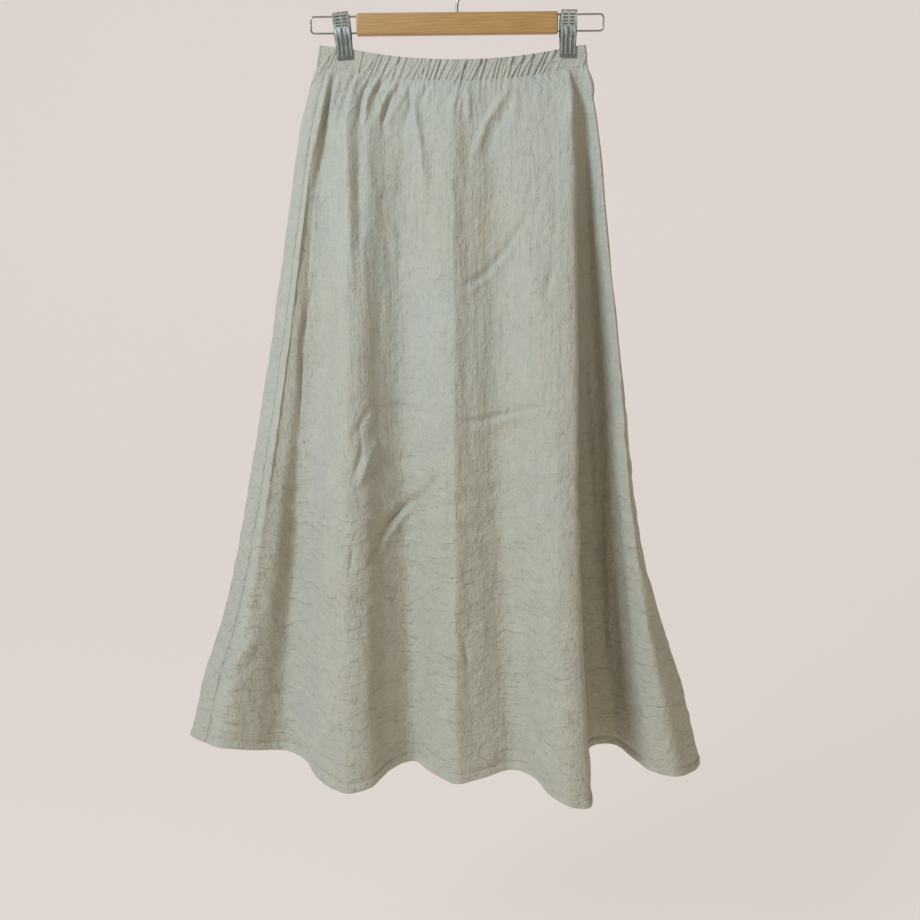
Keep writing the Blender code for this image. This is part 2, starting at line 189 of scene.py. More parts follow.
# Fold lines, once round from the left side seam: place across at the waist and at the
# hem as a part of the reach, drift, side of the flattened waist, depth at the hem, how
# much the hem hangs above its level, and columns to the next line.
FOLDS = (
    ("left seam",       -0.925, -0.927, 1.0, -1, -0.036,  0.028, 2),
    ("left lobe",       -0.896, -0.862, 1.6, -1, -0.064,  0.034, 2),
    ("left lobe foot",  -0.875, -0.755, 1.6, -1, -0.054,  0.025, 2),
    ("left valley",     -0.850, -0.650, 1.8, -1, -0.032,  0.015, 3),
    ("left rise",       -0.790, -0.569, 1.3, -1, -0.062,  0.017, 2),
    ("first shoulder",  -0.740, -0.499, 1.0, -1, -0.102,  0.006, 6),
    ("first lobe",      -0.660, -0.408, 1.0, -1, -0.122, -0.002, 6),
    ("first flank",     -0.590, -0.324, 1.0, -1, -0.114,  0.001, 4),
    ("first foot",      -0.500, -0.261, 1.0, -1, -0.082,  0.010, 4),
    ("first valley",    -0.380, -0.178, 1.0, -1, -0.060,  0.011, 6),
    ("middle shoulder", -0.230, -0.093, 1.0, -1, -0.090,  0.004, 4),
    ("middle lobe",     -0.035, -0.028, 1.0, -1, -0.104,  0.000, 6),
    ("middle flank",     0.070,  0.076, 1.0, -1, -0.094,  0.003, 4),
    ("second valley",    0.210,  0.190, 1.0, -1, -0.078,  0.006, 6),
    ("great foot",       0.340,  0.273, 1.0, -1, -0.093,  0.003, 4),
    ("great shoulder",   0.480,  0.335, 1.0, -1, -0.116, -0.010, 4),
    ("great lobe",       0.690,  0.417, 1.0, -1, -0.134, -0.017, 3),
    ("great lobe edge",  0.840,  0.489, 1.0, -1, -0.127, -0.021, 2),
    ("great lobe side",  0.862,  0.505, 1.0, -1, -0.058, -0.010, 2),
    ("deep valley foot", 0.895,  0.535, 1.0, -1, -0.008,  0.004, 2),
    ("deep valley",      0.935,  0.645, 1.0, -1,  0.003,  0.002, 3),
    ("right foot",       0.955,  0.717, 1.4, -1, -0.030, -0.004, 2),
    ("right flank",      0.970,  0.772, 1.8, -1, -0.052, -0.010, 2),
    ("right lobe",       0.985,  0.866, 2.5, -1, -0.066, -0.011, 3),
    ("right edge",       1.000,  1.000, 1.0,  0,  0.000, -0.020, 2),
    ("right seam",       0.915,  0.930, 1.0,  1,  0.034, -0.006, 2),
    ("back lobe 1 a",    0.870,  0.850, 1.0,  1,  0.067, -0.002, 2),
    ("back lobe 1 b",    0.820,  0.750, 1.0,  1,  0.079,  0.000, 3),
    ("back valley 1",    0.740,  0.640, 1.0,  1,  0.040,  0.004, 3),
    ("back lobe 2 a",    0.630,  0.535, 1.0,  1,  0.095, -0.004, 2),
    ("back lobe 2 b",    0.500,  0.405, 1.0,  1,  0.101, -0.006, 3),
    ("back valley 2",    0.330,  0.275, 1.0,  1,  0.046,  0.000, 3),
    ("back lobe 3 a",    0.160,  0.105, 1.0,  1,  0.107, -0.006, 2),
    ("back lobe 3 b",   -0.020, -0.055, 1.0,  1,  0.113, -0.008, 3),
    ("back valley 3",   -0.220, -0.195, 1.0,  1,  0.044,  0.002, 3),
    ("back lobe 4 a",   -0.380, -0.340, 1.0,  1,  0.098,  0.000, 2),
    ("back lobe 4 b",   -0.520, -0.465, 1.0,  1,  0.103,  0.002, 3),
    ("back valley 4",   -0.700, -0.625, 1.0,  1,  0.038,  0.010, 3),
    ("back lobe 5 a",   -0.820, -0.750, 1.0,  1,  0.066,  0.018, 2),
    ("back lobe 5 b",   -0.900, -0.875, 1.0,  1,  0.055,  0.022, 3),
    ("left edge",       -1.000, -1.000, 1.0,  0,  0.000,  0.026, 3),
)
SEAMS = {"front": ("left seam", "right seam"), "back": ("right seam", "left seam")}
PRESSED_LINE = {"front": "middle lobe", "back": "back lobe 3 b"}

# ---------------------------------------------------------------- creases, a row for each

# Each crease: name, height above the cloth (a trough is below 0), half-width, and its
# points across and up, in metres.
CREASES = {
    "front": (
        ("first ridge",         0.0026, 0.0074, ((-0.116, -0.126), (-0.126, -0.149), (-0.131, -0.194),
                                                  (-0.131, -0.263), (-0.131, -0.332), (-0.135, -0.400))),
        ("first ridge shade",  -0.0018, 0.0072, ((-0.112, -0.150), (-0.117, -0.194), (-0.118, -0.263),
                                                  (-0.118, -0.340))),
        ("fan pucker 1",       -0.0022, 0.0034, ((-0.110, -0.118), (-0.124, -0.131), (-0.135, -0.158),
                                                  (-0.144, -0.195))),
        ("fan pucker 2",       -0.0018, 0.0032, ((-0.099, -0.130), (-0.113, -0.153), (-0.118, -0.187))),
        ("fan ridge 2",         0.0014, 0.0034, ((-0.094, -0.132), (-0.107, -0.156), (-0.111, -0.184))),
        ("fan pucker 3",       -0.0014, 0.0030, ((-0.084, -0.130), (-0.093, -0.140), (-0.100, -0.152))),
        ("fan pucker 4",       -0.0018, 0.0032, ((-0.066, -0.136), (-0.081, -0.157), (-0.088, -0.181),
                                                  (-0.087, -0.203))),
        ("fan ridge 4",         0.0012, 0.0032, ((-0.072, -0.138), (-0.088, -0.160), (-0.095, -0.182))),
        ("fan pucker 5",       -0.0014, 0.0030, ((-0.057, -0.137), (-0.058, -0.165), (-0.064, -0.190))),
        ("fan pucker 6",       -0.0014, 0.0030, ((-0.031, -0.138), (-0.038, -0.148), (-0.046, -0.160))),
        ("bright pleat",        0.0020, 0.0040, ((-0.054, -0.143), (-0.049, -0.183), (-0.043, -0.234),
                                                  (-0.041, -0.290))),
        ("corner ridge 1",      0.0013, 0.0028, ((-0.153, -0.128), (-0.162, -0.163), (-0.171, -0.203),
                                                  (-0.178, -0.240))),
        ("corner shade 1",     -0.0014, 0.0026, ((-0.147, -0.128), (-0.157, -0.171), (-0.167, -0.205))),
        ("corner ridge 2",      0.0012, 0.0030, ((-0.140, -0.126), (-0.144, -0.146), (-0.152, -0.172))),
        ("left crest ease",    -0.0026, 0.0095, ((-0.162, -0.190), (-0.185, -0.300),
                                                  (-0.2096, -0.475), (-0.237, -0.650), (-0.262, -0.800))),
        ("left hollow ease",    0.0028, 0.0100, ((-0.160, -0.220), (-0.1737, -0.300),
                                                  (-0.192, -0.475), (-0.207, -0.650))),
        ("left hollow",        -0.0022, 0.0160, ((-0.146, -0.170), (-0.155, -0.275), (-0.163, -0.390),
                                                  (-0.173, -0.515), (-0.192, -0.640), (-0.216, -0.780))),
        ("middle hollow",      -0.0013, 0.0150, ((-0.044, -0.160), (-0.047, -0.300), (-0.050, -0.500),
                                                  (-0.052, -0.700), (-0.052, -0.880))),
        ("great hollow",       -0.0014, 0.0180, ((0.046, -0.180), (0.054, -0.300), (0.062, -0.500),
                                                  (0.068, -0.700), (0.072, -0.880))),
        ("right edge roll",     0.0026, 0.0120, ((0.240, -0.740), (0.268, -0.860), (0.288, -0.930),
                                                  (0.300, -0.985))),
        ("left strip line",    -0.0012, 0.0030, ((-0.166, -0.220), (-0.176, -0.270), (-0.184, -0.330),
                                                  (-0.192, -0.400))),
        ("top nick 1",         -0.0012, 0.0024, ((-0.063, -0.255), (-0.070, -0.271))),
        ("top nick 2",         -0.0010, 0.0024, ((-0.103, -0.245), (-0.091, -0.246))),
        ("drape ridge",         0.0016, 0.0044, ((0.063, -0.139), (0.049, -0.163), (0.035, -0.183),
                                                  (0.026, -0.206), (0.016, -0.232))),
        ("drape shade",        -0.0007, 0.0046, ((0.070, -0.146), (0.057, -0.172), (0.043, -0.196),
                                                  (0.033, -0.222))),
        ("pale tuck",           0.0012, 0.0034, ((0.011, -0.144), (0.013, -0.184))),
        ("clip ridge",          0.0014, 0.0040, ((0.133, -0.125), (0.133, -0.161), (0.131, -0.205))),
        ("corner pull",         0.0014, 0.0034, ((0.146, -0.118), (0.156, -0.136), (0.160, -0.156))),
        ("short nick 1",       -0.0011, 0.0026, ((-0.078, -0.269), (-0.067, -0.245))),
        ("short nick 2",       -0.0010, 0.0028, ((-0.079, -0.306), (-0.063, -0.318))),
        ("upper diagonal",     -0.0020, 0.0042, ((0.084, -0.290), (0.069, -0.313), (0.033, -0.361),
                                                  (-0.003, -0.378))),
        ("upper diagonal lip",  0.0012, 0.0040, ((0.078, -0.306), (0.060, -0.333), (0.030, -0.368),
                                                  (0.002, -0.384))),
        ("cross fold right",   -0.0017, 0.0036, ((-0.006, -0.536), (0.026, -0.536), (0.075, -0.523),
                                                  (0.121, -0.515))),
        ("cross fold lip",      0.0010, 0.0036, ((0.000, -0.543), (0.030, -0.543), (0.076, -0.530),
                                                  (0.116, -0.522))),
        ("cross fold left",    -0.0010, 0.0040, ((-0.107, -0.517), (-0.064, -0.523), (-0.021, -0.535))),
        ("knee dent",          -0.0014, 0.0040, ((-0.108, -0.517), (-0.121, -0.540), (-0.133, -0.557))),
        ("left nick 1",        -0.0012, 0.0030, ((-0.119, -0.546), (-0.119, -0.572), (-0.134, -0.611))),
        ("left ridge",          0.0015, 0.0034, ((-0.099, -0.556), (-0.110, -0.577), (-0.123, -0.612))),
        ("small tuck",          0.0010, 0.0028, ((0.014, -0.486), (0.007, -0.502))),
        ("mid line",           -0.0010, 0.0036, ((0.114, -0.346), (0.106, -0.370), (0.099, -0.393))),
        ("long diagonal",      -0.0024, 0.0044, ((-0.014, -0.592), (-0.051, -0.626), (-0.086, -0.661),
                                                  (-0.104, -0.693), (-0.113, -0.713))),
        ("long diagonal lip",   0.0016, 0.0042, ((-0.020, -0.604), (-0.054, -0.637), (-0.087, -0.672),
                                                  (-0.105, -0.703))),
        ("short drop",         -0.0012, 0.0030, ((-0.132, -0.680), (-0.135, -0.714))),
        ("low dent 1",         -0.0014, 0.0036, ((-0.108, -0.747), (-0.137, -0.757))),
        ("low curve",           0.0011, 0.0034, ((-0.170, -0.727), (-0.163, -0.745), (-0.150, -0.758))),
        ("side dent",          -0.0012, 0.0034, ((-0.235, -0.629), (-0.210, -0.645))),
        ("crush 1",            -0.0020, 0.0042, ((-0.262, -0.790), (-0.290, -0.826), (-0.314, -0.856))),
        ("crush 2",             0.0018, 0.0036, ((-0.255, -0.805), (-0.280, -0.832), (-0.307, -0.850))),
        ("crush 3",            -0.0016, 0.0034, ((-0.266, -0.846), (-0.294, -0.858))),
        ("crush 4",             0.0012, 0.0034, ((-0.229, -0.873), (-0.260, -0.880))),
        ("crush 5",            -0.0014, 0.0036, ((-0.246, -0.934), (-0.214, -0.939))),
        ("crush 6",             0.0013, 0.0034, ((-0.187, -0.897), (-0.165, -0.932))),
        ("middle drop",        -0.0011, 0.0032, ((-0.001, -0.792), (0.007, -0.841))),
        ("middle tick",         0.0010, 0.0026, ((0.012, -0.793), (0.029, -0.790))),
        ("low cross ridge",     0.0014, 0.0038, ((0.037, -0.765), (0.078, -0.760), (0.120, -0.751))),
        ("low cross trough",   -0.0012, 0.0038, ((0.085, -0.870), (0.131, -0.865))),
        ("low tick",            0.0009, 0.0026, ((0.050, -0.825), (0.060, -0.827))),
        ("hem tick",           -0.0011, 0.0030, ((0.100, -0.915), (0.105, -0.931))),
        ("right lobe nick",    -0.0012, 0.0030, ((0.236, -0.787), (0.231, -0.805))),
        ("right lobe line",     0.0013, 0.0034, ((0.222, -0.725), (0.233, -0.760), (0.241, -0.794))),
        ("right lobe low",     -0.0013, 0.0034, ((0.209, -0.919), (0.228, -0.905))),
        ("right hem nick",     -0.0012, 0.0030, ((0.271, -0.895), (0.260, -0.911))),
        ("side strip crease",  -0.0014, 0.0036, ((-0.172, -0.358), (-0.193, -0.437), (-0.196, -0.496),
                                                  (-0.201, -0.541))),
        ("side strip upper",    0.0012, 0.0040, ((-0.158, -0.150), (-0.166, -0.196), (-0.172, -0.262),
                                                  (-0.176, -0.330))),
        ("hip crumple 1",      -0.0011, 0.0038, ((-0.148, -0.262), (-0.128, -0.275), (-0.112, -0.270))),
        ("hip crumple 2",       0.0010, 0.0034, ((-0.160, -0.402), (-0.140, -0.414), (-0.120, -0.409))),
        ("flank line 1",       -0.0013, 0.0030, ((0.150, -0.400), (0.156, -0.520), (0.158, -0.640))),
        ("flank line 2",        0.0012, 0.0030, ((0.158, -0.430), (0.166, -0.560), (0.171, -0.700))),
        ("flank line 3",       -0.0012, 0.0030, ((0.184, -0.600), (0.196, -0.720), (0.208, -0.850))),
        ("flank line 4",        0.0011, 0.0032, ((0.178, -0.640), (0.186, -0.760), (0.190, -0.880))),
    ),
    "back": (
        ("left edge ridge",     0.0014, 0.0026, ((-0.166, -0.135), (-0.173, -0.168), (-0.181, -0.210),
                                                  (-0.188, -0.250))),
        ("left edge shade",    -0.0013, 0.0026, ((-0.161, -0.140), (-0.169, -0.178), (-0.177, -0.220))),
        ("left edge low",      -0.0013, 0.0028, ((-0.187, -0.270), (-0.195, -0.315), (-0.200, -0.350),
                                                  (-0.209, -0.390))),
        ("back fan 1",         -0.0015, 0.0036, ((0.112, -0.126), (0.121, -0.144), (0.127, -0.176))),
        ("back fan 2",          0.0014, 0.0038, ((0.098, -0.132), (0.107, -0.152), (0.110, -0.190))),
        ("back fan 3",         -0.0013, 0.0034, ((-0.104, -0.128), (-0.117, -0.150), (-0.122, -0.188))),
        ("back fan 4",          0.0016, 0.0040, ((-0.086, -0.136), (-0.098, -0.166), (-0.103, -0.214))),
        ("back pleat 1",        0.0016, 0.0038, ((0.038, -0.144), (0.046, -0.176), (0.048, -0.240))),
        ("back pleat 2",       -0.0012, 0.0036, ((-0.030, -0.146), (-0.034, -0.182), (-0.033, -0.224))),
        ("seat crease 1",      -0.0019, 0.0046, ((-0.122, -0.330), (-0.071, -0.352), (-0.020, -0.346))),
        ("seat crease 2",       0.0014, 0.0044, ((-0.112, -0.341), (-0.066, -0.363), (-0.018, -0.358))),
        ("seat crease 3",      -0.0017, 0.0042, ((0.118, -0.318), (0.074, -0.346), (0.034, -0.352))),
        ("seat crease 4",      -0.0013, 0.0040, ((-0.062, -0.402), (-0.012, -0.418), (0.046, -0.406))),
        ("seat line 1",         0.0013, 0.0036, ((0.148, -0.370), (0.128, -0.412), (0.121, -0.462))),
        ("thigh dent 1",       -0.0015, 0.0040, ((0.086, -0.486), (0.112, -0.512), (0.121, -0.548))),
        ("thigh ridge 1",       0.0014, 0.0038, ((-0.129, -0.470), (-0.139, -0.512), (-0.136, -0.566))),
        ("cross fold back 1",  -0.0016, 0.0036, ((-0.118, -0.528), (-0.062, -0.534), (0.004, -0.526),
                                                  (0.060, -0.531))),
        ("cross fold back 2",   0.0010, 0.0036, ((-0.110, -0.536), (-0.060, -0.542), (0.002, -0.534),
                                                  (0.056, -0.539))),
        ("back diagonal",      -0.0022, 0.0044, ((0.021, -0.604), (0.058, -0.646), (0.094, -0.671),
                                                  (0.128, -0.719))),
        ("back diagonal lip",   0.0015, 0.0042, ((0.026, -0.616), (0.060, -0.657), (0.095, -0.683),
                                                  (0.124, -0.727))),
        ("back nick 1",        -0.0012, 0.0030, ((-0.074, -0.640), (-0.080, -0.676))),
        ("back nick 2",         0.0011, 0.0030, ((-0.172, -0.612), (-0.181, -0.652))),
        ("back nick 3",        -0.0011, 0.0028, ((0.172, -0.566), (0.180, -0.602))),
        ("back low 1",          0.0014, 0.0038, ((-0.052, -0.762), (-0.010, -0.771), (0.034, -0.764))),
        ("back low 2",         -0.0014, 0.0036, ((-0.152, -0.742), (-0.186, -0.760))),
        ("back low 3",         -0.0013, 0.0036, ((0.142, -0.802), (0.171, -0.829))),
        ("back low 4",          0.0012, 0.0032, ((0.208, -0.762), (0.222, -0.812))),
        ("back crush 1",       -0.0018, 0.0040, ((-0.252, -0.802), (-0.281, -0.842), (-0.302, -0.866))),
        ("back crush 2",        0.0015, 0.0036, ((-0.243, -0.818), (-0.268, -0.850), (-0.292, -0.872))),
        ("back crush 3",       -0.0013, 0.0034, ((0.232, -0.858), (0.262, -0.884))),
        ("back hem 1",          0.0011, 0.0030, ((-0.092, -0.882), (-0.098, -0.921))),
        ("back hem 2",         -0.0011, 0.0030, ((0.058, -0.892), (0.066, -0.930))),
        ("back hem 3",         -0.0012, 0.0030, ((-0.204, -0.902), (-0.190, -0.930))),
    ),
}


# ---------------------------------------------------------------- sizes and colours to change

def length_property(label, text, default, most):
    return bpy.props.FloatProperty(
        name=label, description=text, default=default, min=0.0, max=most, precision=5, unit="LENGTH")


def colour_property(label, text, default):
    return bpy.props.FloatVectorProperty(
        name=label, description=text, default=default, min=0.0, max=1.0, size=3, subtype="COLOR")


class ClothSettings(bpy.types.PropertyGroup):
    """Sizes and colours of the linen and its stitches."""

    thickness: length_property("Thickness", "Thickness of the linen", 0.0008, 0.002)
    thread_pitch: length_property("Thread pitch", "From one thread of the weave to the next", 0.00075, 0.003)
    gather_depth: length_property("Gather depth", "Height of a gather on the waistband", 0.0015, 0.003)
    press_height: length_property("Pressed line", "Height of the ironed line down the middle", 0.0042, 0.006)
    sway_depth: length_property("Sway", "How far the broad folds wander from even", 0.0030, 0.008)
    crumple_depth: length_property("Crumple", "Depth of the small crumples all over", 0.0017, 0.003)
    stitch_length: length_property("Stitch", "Length of one stitch", 0.0030, 0.01)
    cool_colour: colour_property("Cool linen", "Colour of the cooler flax", (0.462, 0.454, 0.388))
    # the warm colour also paints warm bounce light towards the bottom of the skirt
    warm_colour: colour_property("Warm linen", "Colour of the warmer flax", (0.462, 0.436, 0.348))
    thread_colour: colour_property("Sewing thread", "Colour of the stitches", (0.560, 0.545, 0.470))


class HangerSettings(bpy.types.PropertyGroup):
    """Sizes and colours of the hanger."""

    bar_rounding: length_property("Bar rounding", "Radius of the bar's long edges", 0.0022, 0.006)
    wood_light: colour_property("Early wood", "Colour of the light grain", (0.470, 0.265, 0.095))
    wood_dark: colour_property("Late wood", "Colour of the dark grain", (0.360, 0.185, 0.058))
    wire_colour: colour_property("Wire", "Colour of the plated wire", (0.36, 0.35, 0.34))
    clip_colour: colour_property("Clip", "Colour of the plated clips", (0.56, 0.61, 0.60))
    spring_colour: colour_property("Spring", "Colour of the spring wire", (0.20, 0.21, 0.21))


class StudioSettings(bpy.types.PropertyGroup):
    """The room, its lights and the camera."""

    wall_colour: colour_property("Backdrop", "Colour of the floor and backdrop", (0.790, 0.715, 0.678))
    key_power: bpy.props.FloatProperty(
        name="Key light", description="Power of the cool window light from the left",
        default=100.0, min=0.0, unit="POWER")
    fill_power: bpy.props.FloatProperty(
        name="Fill light", description="Power of the warm light from the right",
        default=5.5, min=0.0, unit="POWER")
    room_strength: bpy.props.FloatProperty(
        name="Room light", description="Strength of the even light of the room", default=0.36, min=0.0)


# ---------------------------------------------------------------- shader graphs

class Value:
    """A node's output, on which arithmetic adds Math nodes."""

    def __init__(self, graph, socket):
        self.graph = graph
        self.socket = socket

    def maths(self, operation, *others):
        return self.graph.maths(operation, self, *others)

    def __add__(self, other):
        return self.maths("ADD", other)

    def __sub__(self, other):
        return self.maths("SUBTRACT", other)

    def __mul__(self, other):
        return self.maths("MULTIPLY", other)

    def __rsub__(self, other):
        return self.graph.maths("SUBTRACT", other, self)

    __radd__ = __add__
    __rmul__ = __mul__


class Graph:
    """A material's nodes, ending in one Principled shader."""

    def __init__(self, name):
        self.material = bpy.data.materials.new(name)
        self.material.use_nodes = True
        self.tree = self.material.node_tree
        self.shader = self.tree.nodes["Principled BSDF"]

    def fill(self, node, sockets):
        for name, value in sockets.items():
            if isinstance(value, Value):
                self.tree.links.new(value.socket, node.inputs[name])
            else:
                node.inputs[name].default_value = value

    def node(self, kind, settings, sockets, output=0):
        """Add a node: its settings first, then its sockets; the result is one output."""
        node = self.tree.nodes.new(kind)
        for name, value in settings.items():
            if name == "stops":
                ramp = node.color_ramp.elements
                for element, (place, grey) in zip(ramp, value):
                    element.position = place
                    element.color = (grey, grey, grey, 1.0)
            else:
                setattr(node, name, value)
        self.fill(node, sockets)
        return Value(self, node.outputs[output])

    def maths(self, operation, *values):
        return self.node("ShaderNodeMath", {"operation": operation}, dict(enumerate(values)))

    def object_place(self):
        return self.node("ShaderNodeTexCoord", {}, {}, output="Object")

    def stretched(self, place, scale, shift=(0.0, 0.0, 0.0)):
        return self.node("ShaderNodeMapping", {"vector_type": "POINT"},
                         {"Vector": place, "Scale": scale, "Location": shift})

    def noise(self, place, detail=2.0, roughness=0.5, distortion=0.0):
        return self.node("ShaderNodeTexNoise", {"noise_dimensions": "3D"},
                         {"Vector": place, "Scale": 1.0, "Detail": detail, "Roughness": roughness,
                          "Distortion": distortion})

    def ramp(self, value, dark_end, light_end):
        """0 at dark_end and beyond, 1 at light_end and beyond, and even between."""
        if dark_end > light_end:
            return 1.0 - self.ramp(value, light_end, dark_end)
        return self.node("ShaderNodeMapRange", {"interpolation_type": "SMOOTHSTEP", "clamp": True},
                         {"Value": value, "From Min": dark_end, "From Max": light_end})

    def mix(self, factor, first, second, blend="MIX"):
        settings = {"data_type": "RGBA", "blend_type": blend}
        return self.node("ShaderNodeMix", settings, {0: factor, 6: first, 7: second}, output=2)

    def grey(self, value):
        return self.node("ShaderNodeCombineColor", {"mode": "RGB"}, {0: value, 1: value, 2: value})

    def bump(self, height, distance, under=None):
        sockets = {"Height": height, "Distance": distance, "Strength": 1.0}
        if under:
            sockets["Normal"] = under
        return self.node("ShaderNodeBump", {}, sockets)

    def finish(self, **sockets):
        """Set the shader's sockets; an underscore in a name stands for a space."""
        self.fill(self.shader, {name.replace("_", " "): value for name, value in sockets.items()})
        return self.material


def opaque(colour):
    return (*colour, 1.0)


def linen_finish(name, cloth, weft_slub, warp_slub):
    """Washed plain-weave linen with slubs, mottling and fine crinkles; its tone holds painted crinkle shade,
    and its lower part painted warm bounce light.
    """
    g = Graph(name)
    place = g.object_place()
    lie = g.node("ShaderNodeUVMap", {"uv_map": "cloth"}, {})
    wander = g.noise(g.stretched(lie, (160.0, 160.0, 1.0)), 1.0) - 0.5
    split = {axis: g.node("ShaderNodeSeparateXYZ", {}, {0: lie}, output=axis) for axis in ("X", "Y")}
    turn = math.pi / cloth.thread_pitch
    warp = ((split["X"] + wander * (cloth.thread_pitch * 0.8)) * turn).maths("SINE")
    weft = ((split["Y"] + wander * (cloth.thread_pitch * 0.8)) * turn).maths("SINE")
    crossing = warp * weft
    weave = crossing.maths("ABSOLUTE")
    weft_slubs = g.ramp(g.noise(g.stretched(lie, (34.0, 900.0, 1.0)), 2.0), 0.56, 0.74)
    warp_slubs = g.ramp(g.noise(g.stretched(lie, (900.0, 30.0, 1.0), (7.0, 3.0, 0.0)), 2.0), 0.58, 0.76)
    slubs = weft_slubs * weft_slub + warp_slubs * warp_slub
    mottle = g.noise(g.stretched(place, (46.0, 46.0, 26.0)), 4.0, 0.62)
    broad = g.noise(g.stretched(place, (6.0, 6.0, 4.5), (2.0, 1.0, 5.0)), 2.0)
    # lower marks the lower part of the skirt: in the colour it paints warm bounce light, in the bump it adds
    # crumples.
    lower = g.ramp(split["Y"], -0.34, -0.66)
    # flax: the linen's own cool and warm tones at random, plus painted warm bounce light towards the bottom.
    flax = g.mix(g.ramp(broad * 0.6 + mottle * 0.4 + lower * 0.15, 0.38, 0.62), opaque(cloth.cool_colour),
                 opaque(cloth.warm_colour))
    streaks = g.noise(g.stretched(lie, (150.0, 13.0, 1.0)), 3.0, 0.6)
    flecks = g.noise(g.stretched(lie, (420.0, 90.0, 1.0), (5.0, 2.0, 0.0)), 3.0, 0.65)
    bends = [g.noise(g.stretched(lie, (24.0, 24.0, 1.0), (shift, 1.0, 0.0)), 1.0) - 0.5
             for shift in (0.0, 9.0)]
    bent = g.node("ShaderNodeCombineXYZ", {},
                  {0: split["X"] + bends[0] * 0.016, 1: split["Y"] + bends[1] * 0.016})
    ticks = g.ramp(g.noise(g.stretched(bent, (46.0, 150.0, 1.0), (1.0, 6.0, 0.0)), 2.0, 0.5), 0.48, 0.78)
    nicks = g.ramp(g.noise(g.stretched(bent, (150.0, 85.0, 1.0), (8.0, 4.0, 0.0)), 2.0, 0.6), 0.50, 0.80)
    tucks = g.noise(g.stretched(bent, (85.0, 60.0, 1.0), (3.0, 7.0, 0.0)), 4.0, 0.62)
    # Partly painted shade: mottle, flecks and weave, which also raise the bump, lighten the tone where the
    # cloth stands up, and the nicks darken it; the slubs are the linen's own colour.
    tone_and_crinkle_shade = (0.860 + mottle * 0.24 + slubs * 0.07 + (flecks - 0.5) * 0.22 + crossing * 0.03
            + (weave - 0.6) * 0.05 - nicks * 0.05)
    colour = g.mix(1.0, flax, g.grey(tone_and_crinkle_shade), blend="MULTIPLY")
    crumpled = ticks * (0.20 + lower * 0.50) + nicks * 0.35 + tucks * (1.2 + lower * 0.8)
    soft = g.bump(streaks * (0.9 - lower * 0.45) + mottle * 0.8 + crumpled, 0.0021)
    fine = g.bump(weave * 0.6 + slubs * 0.9 + flecks * 0.8, 0.00018, under=soft)
    return g.finish(Base_Color=colour, Roughness=0.86 + mottle * 0.08, Normal=fine, Sheen_Weight=0.22,
                    Sheen_Roughness=0.55, Specular_IOR_Level=0.25)


def thread_finish(cloth):
    """Twisted sewing thread."""
    g = Graph("sewing_thread")
    ply = g.noise(g.stretched(g.object_place(), (2600.0, 2600.0, 2600.0)), 1.0)
    colour = g.mix(1.0, opaque(cloth.thread_colour), g.grey(0.85 + ply * 0.3), blend="MULTIPLY")
    return g.finish(Base_Color=colour, Roughness=0.75 + ply * 0.1, Normal=g.bump(ply, 0.00006),
                    Sheen_Weight=0.15)


def beech_finish(hanger):
    """Varnished light hardwood with a slightly slanting grain, rays and pores."""
    g = Graph("varnished_beech")
    place = g.node("ShaderNodeMapping", {"vector_type": "POINT"},
                   {"Vector": g.object_place(), "Rotation": (0.0, math.radians(2.5), math.radians(4.0))})
    bend = g.noise(g.stretched(place, (9.0, 30.0, 30.0)), 2.0)
    depth = g.node("ShaderNodeSeparateXYZ", {}, {0: place}, output="Z")
    across = g.node("ShaderNodeSeparateXYZ", {}, {0: place}, output="Y")
    rings = (depth * 1500.0 + across * 900.0 + bend * 16.0).maths("SINE") * 0.5 + 0.5
    streaks = g.noise(g.stretched(place, (14.0, 420.0, 420.0)), 3.0, 0.6)
    pores = g.ramp(g.noise(g.stretched(place, (140.0, 2600.0, 2600.0)), 1.0), 0.60, 0.72)
    rays = g.ramp(g.noise(g.stretched(place, (320.0, 700.0, 1900.0), (3.0, 8.0, 2.0)), 1.0), 0.62, 0.72)
    grain = g.ramp(rings * 0.16 + streaks * 0.95, 0.18, 0.86)
    wood = g.mix(grain, opaque(hanger.wood_dark), opaque(hanger.wood_light))
    flecked = g.mix(pores * 0.35 + rays * 0.30, wood, opaque(hanger.wood_dark))
    rough = 0.36 + streaks * 0.12 + pores * 0.1
    relief = g.bump(streaks * 0.4 - pores * 0.5, 0.00008)
    return g.finish(Base_Color=flecked, Roughness=rough, Normal=relief, Coat_Weight=0.35,
                    Coat_Roughness=0.22)


def metal_finish(name, colour, roughness, scratch_scale, dull, hollow_shade=0.0):
    """Plated steel with fine drawing lines, dull patches, and painted shade where the piece marks its hollows.
    """
    g = Graph(name)
    place = g.object_place()
    lines = g.noise(g.stretched(place, scratch_scale), 3.0, 0.6)
    patches = g.noise(g.stretched(place, (180.0, 180.0, 150.0)), 3.0)
    shade = g.grey(0.86 + lines * 0.16 + patches * 0.12)
    worn = g.ramp(patches, 0.42, 0.70) * dull
    tint = g.mix(1.0, opaque(colour), shade, blend="MULTIPLY")
    metallic = 1.0 - worn * 0.12
    if hollow_shade:
        hollow = g.node("ShaderNodeAttribute", {"attribute_type": "GEOMETRY", "attribute_name": "hollow"}, {},
                        output="Fac")
        # Painted shade: the hollows of the dimples and ribs, and the ribbed end as a whole, are darkened and
        # made less metallic.
        painted_shade = g.ramp(hollow + (patches - 0.5) * 0.6, 0.25, 0.95) * hollow_shade
        tint = g.mix(painted_shade, tint, opaque(HOLLOW_SHADE_COLOUR))
        metallic = metallic - painted_shade * 0.35
    return g.finish(Base_Color=tint, Metallic=metallic, Roughness=roughness + worn * 0.16 + lines * 0.08,
                    Normal=g.bump(lines, 0.00002))


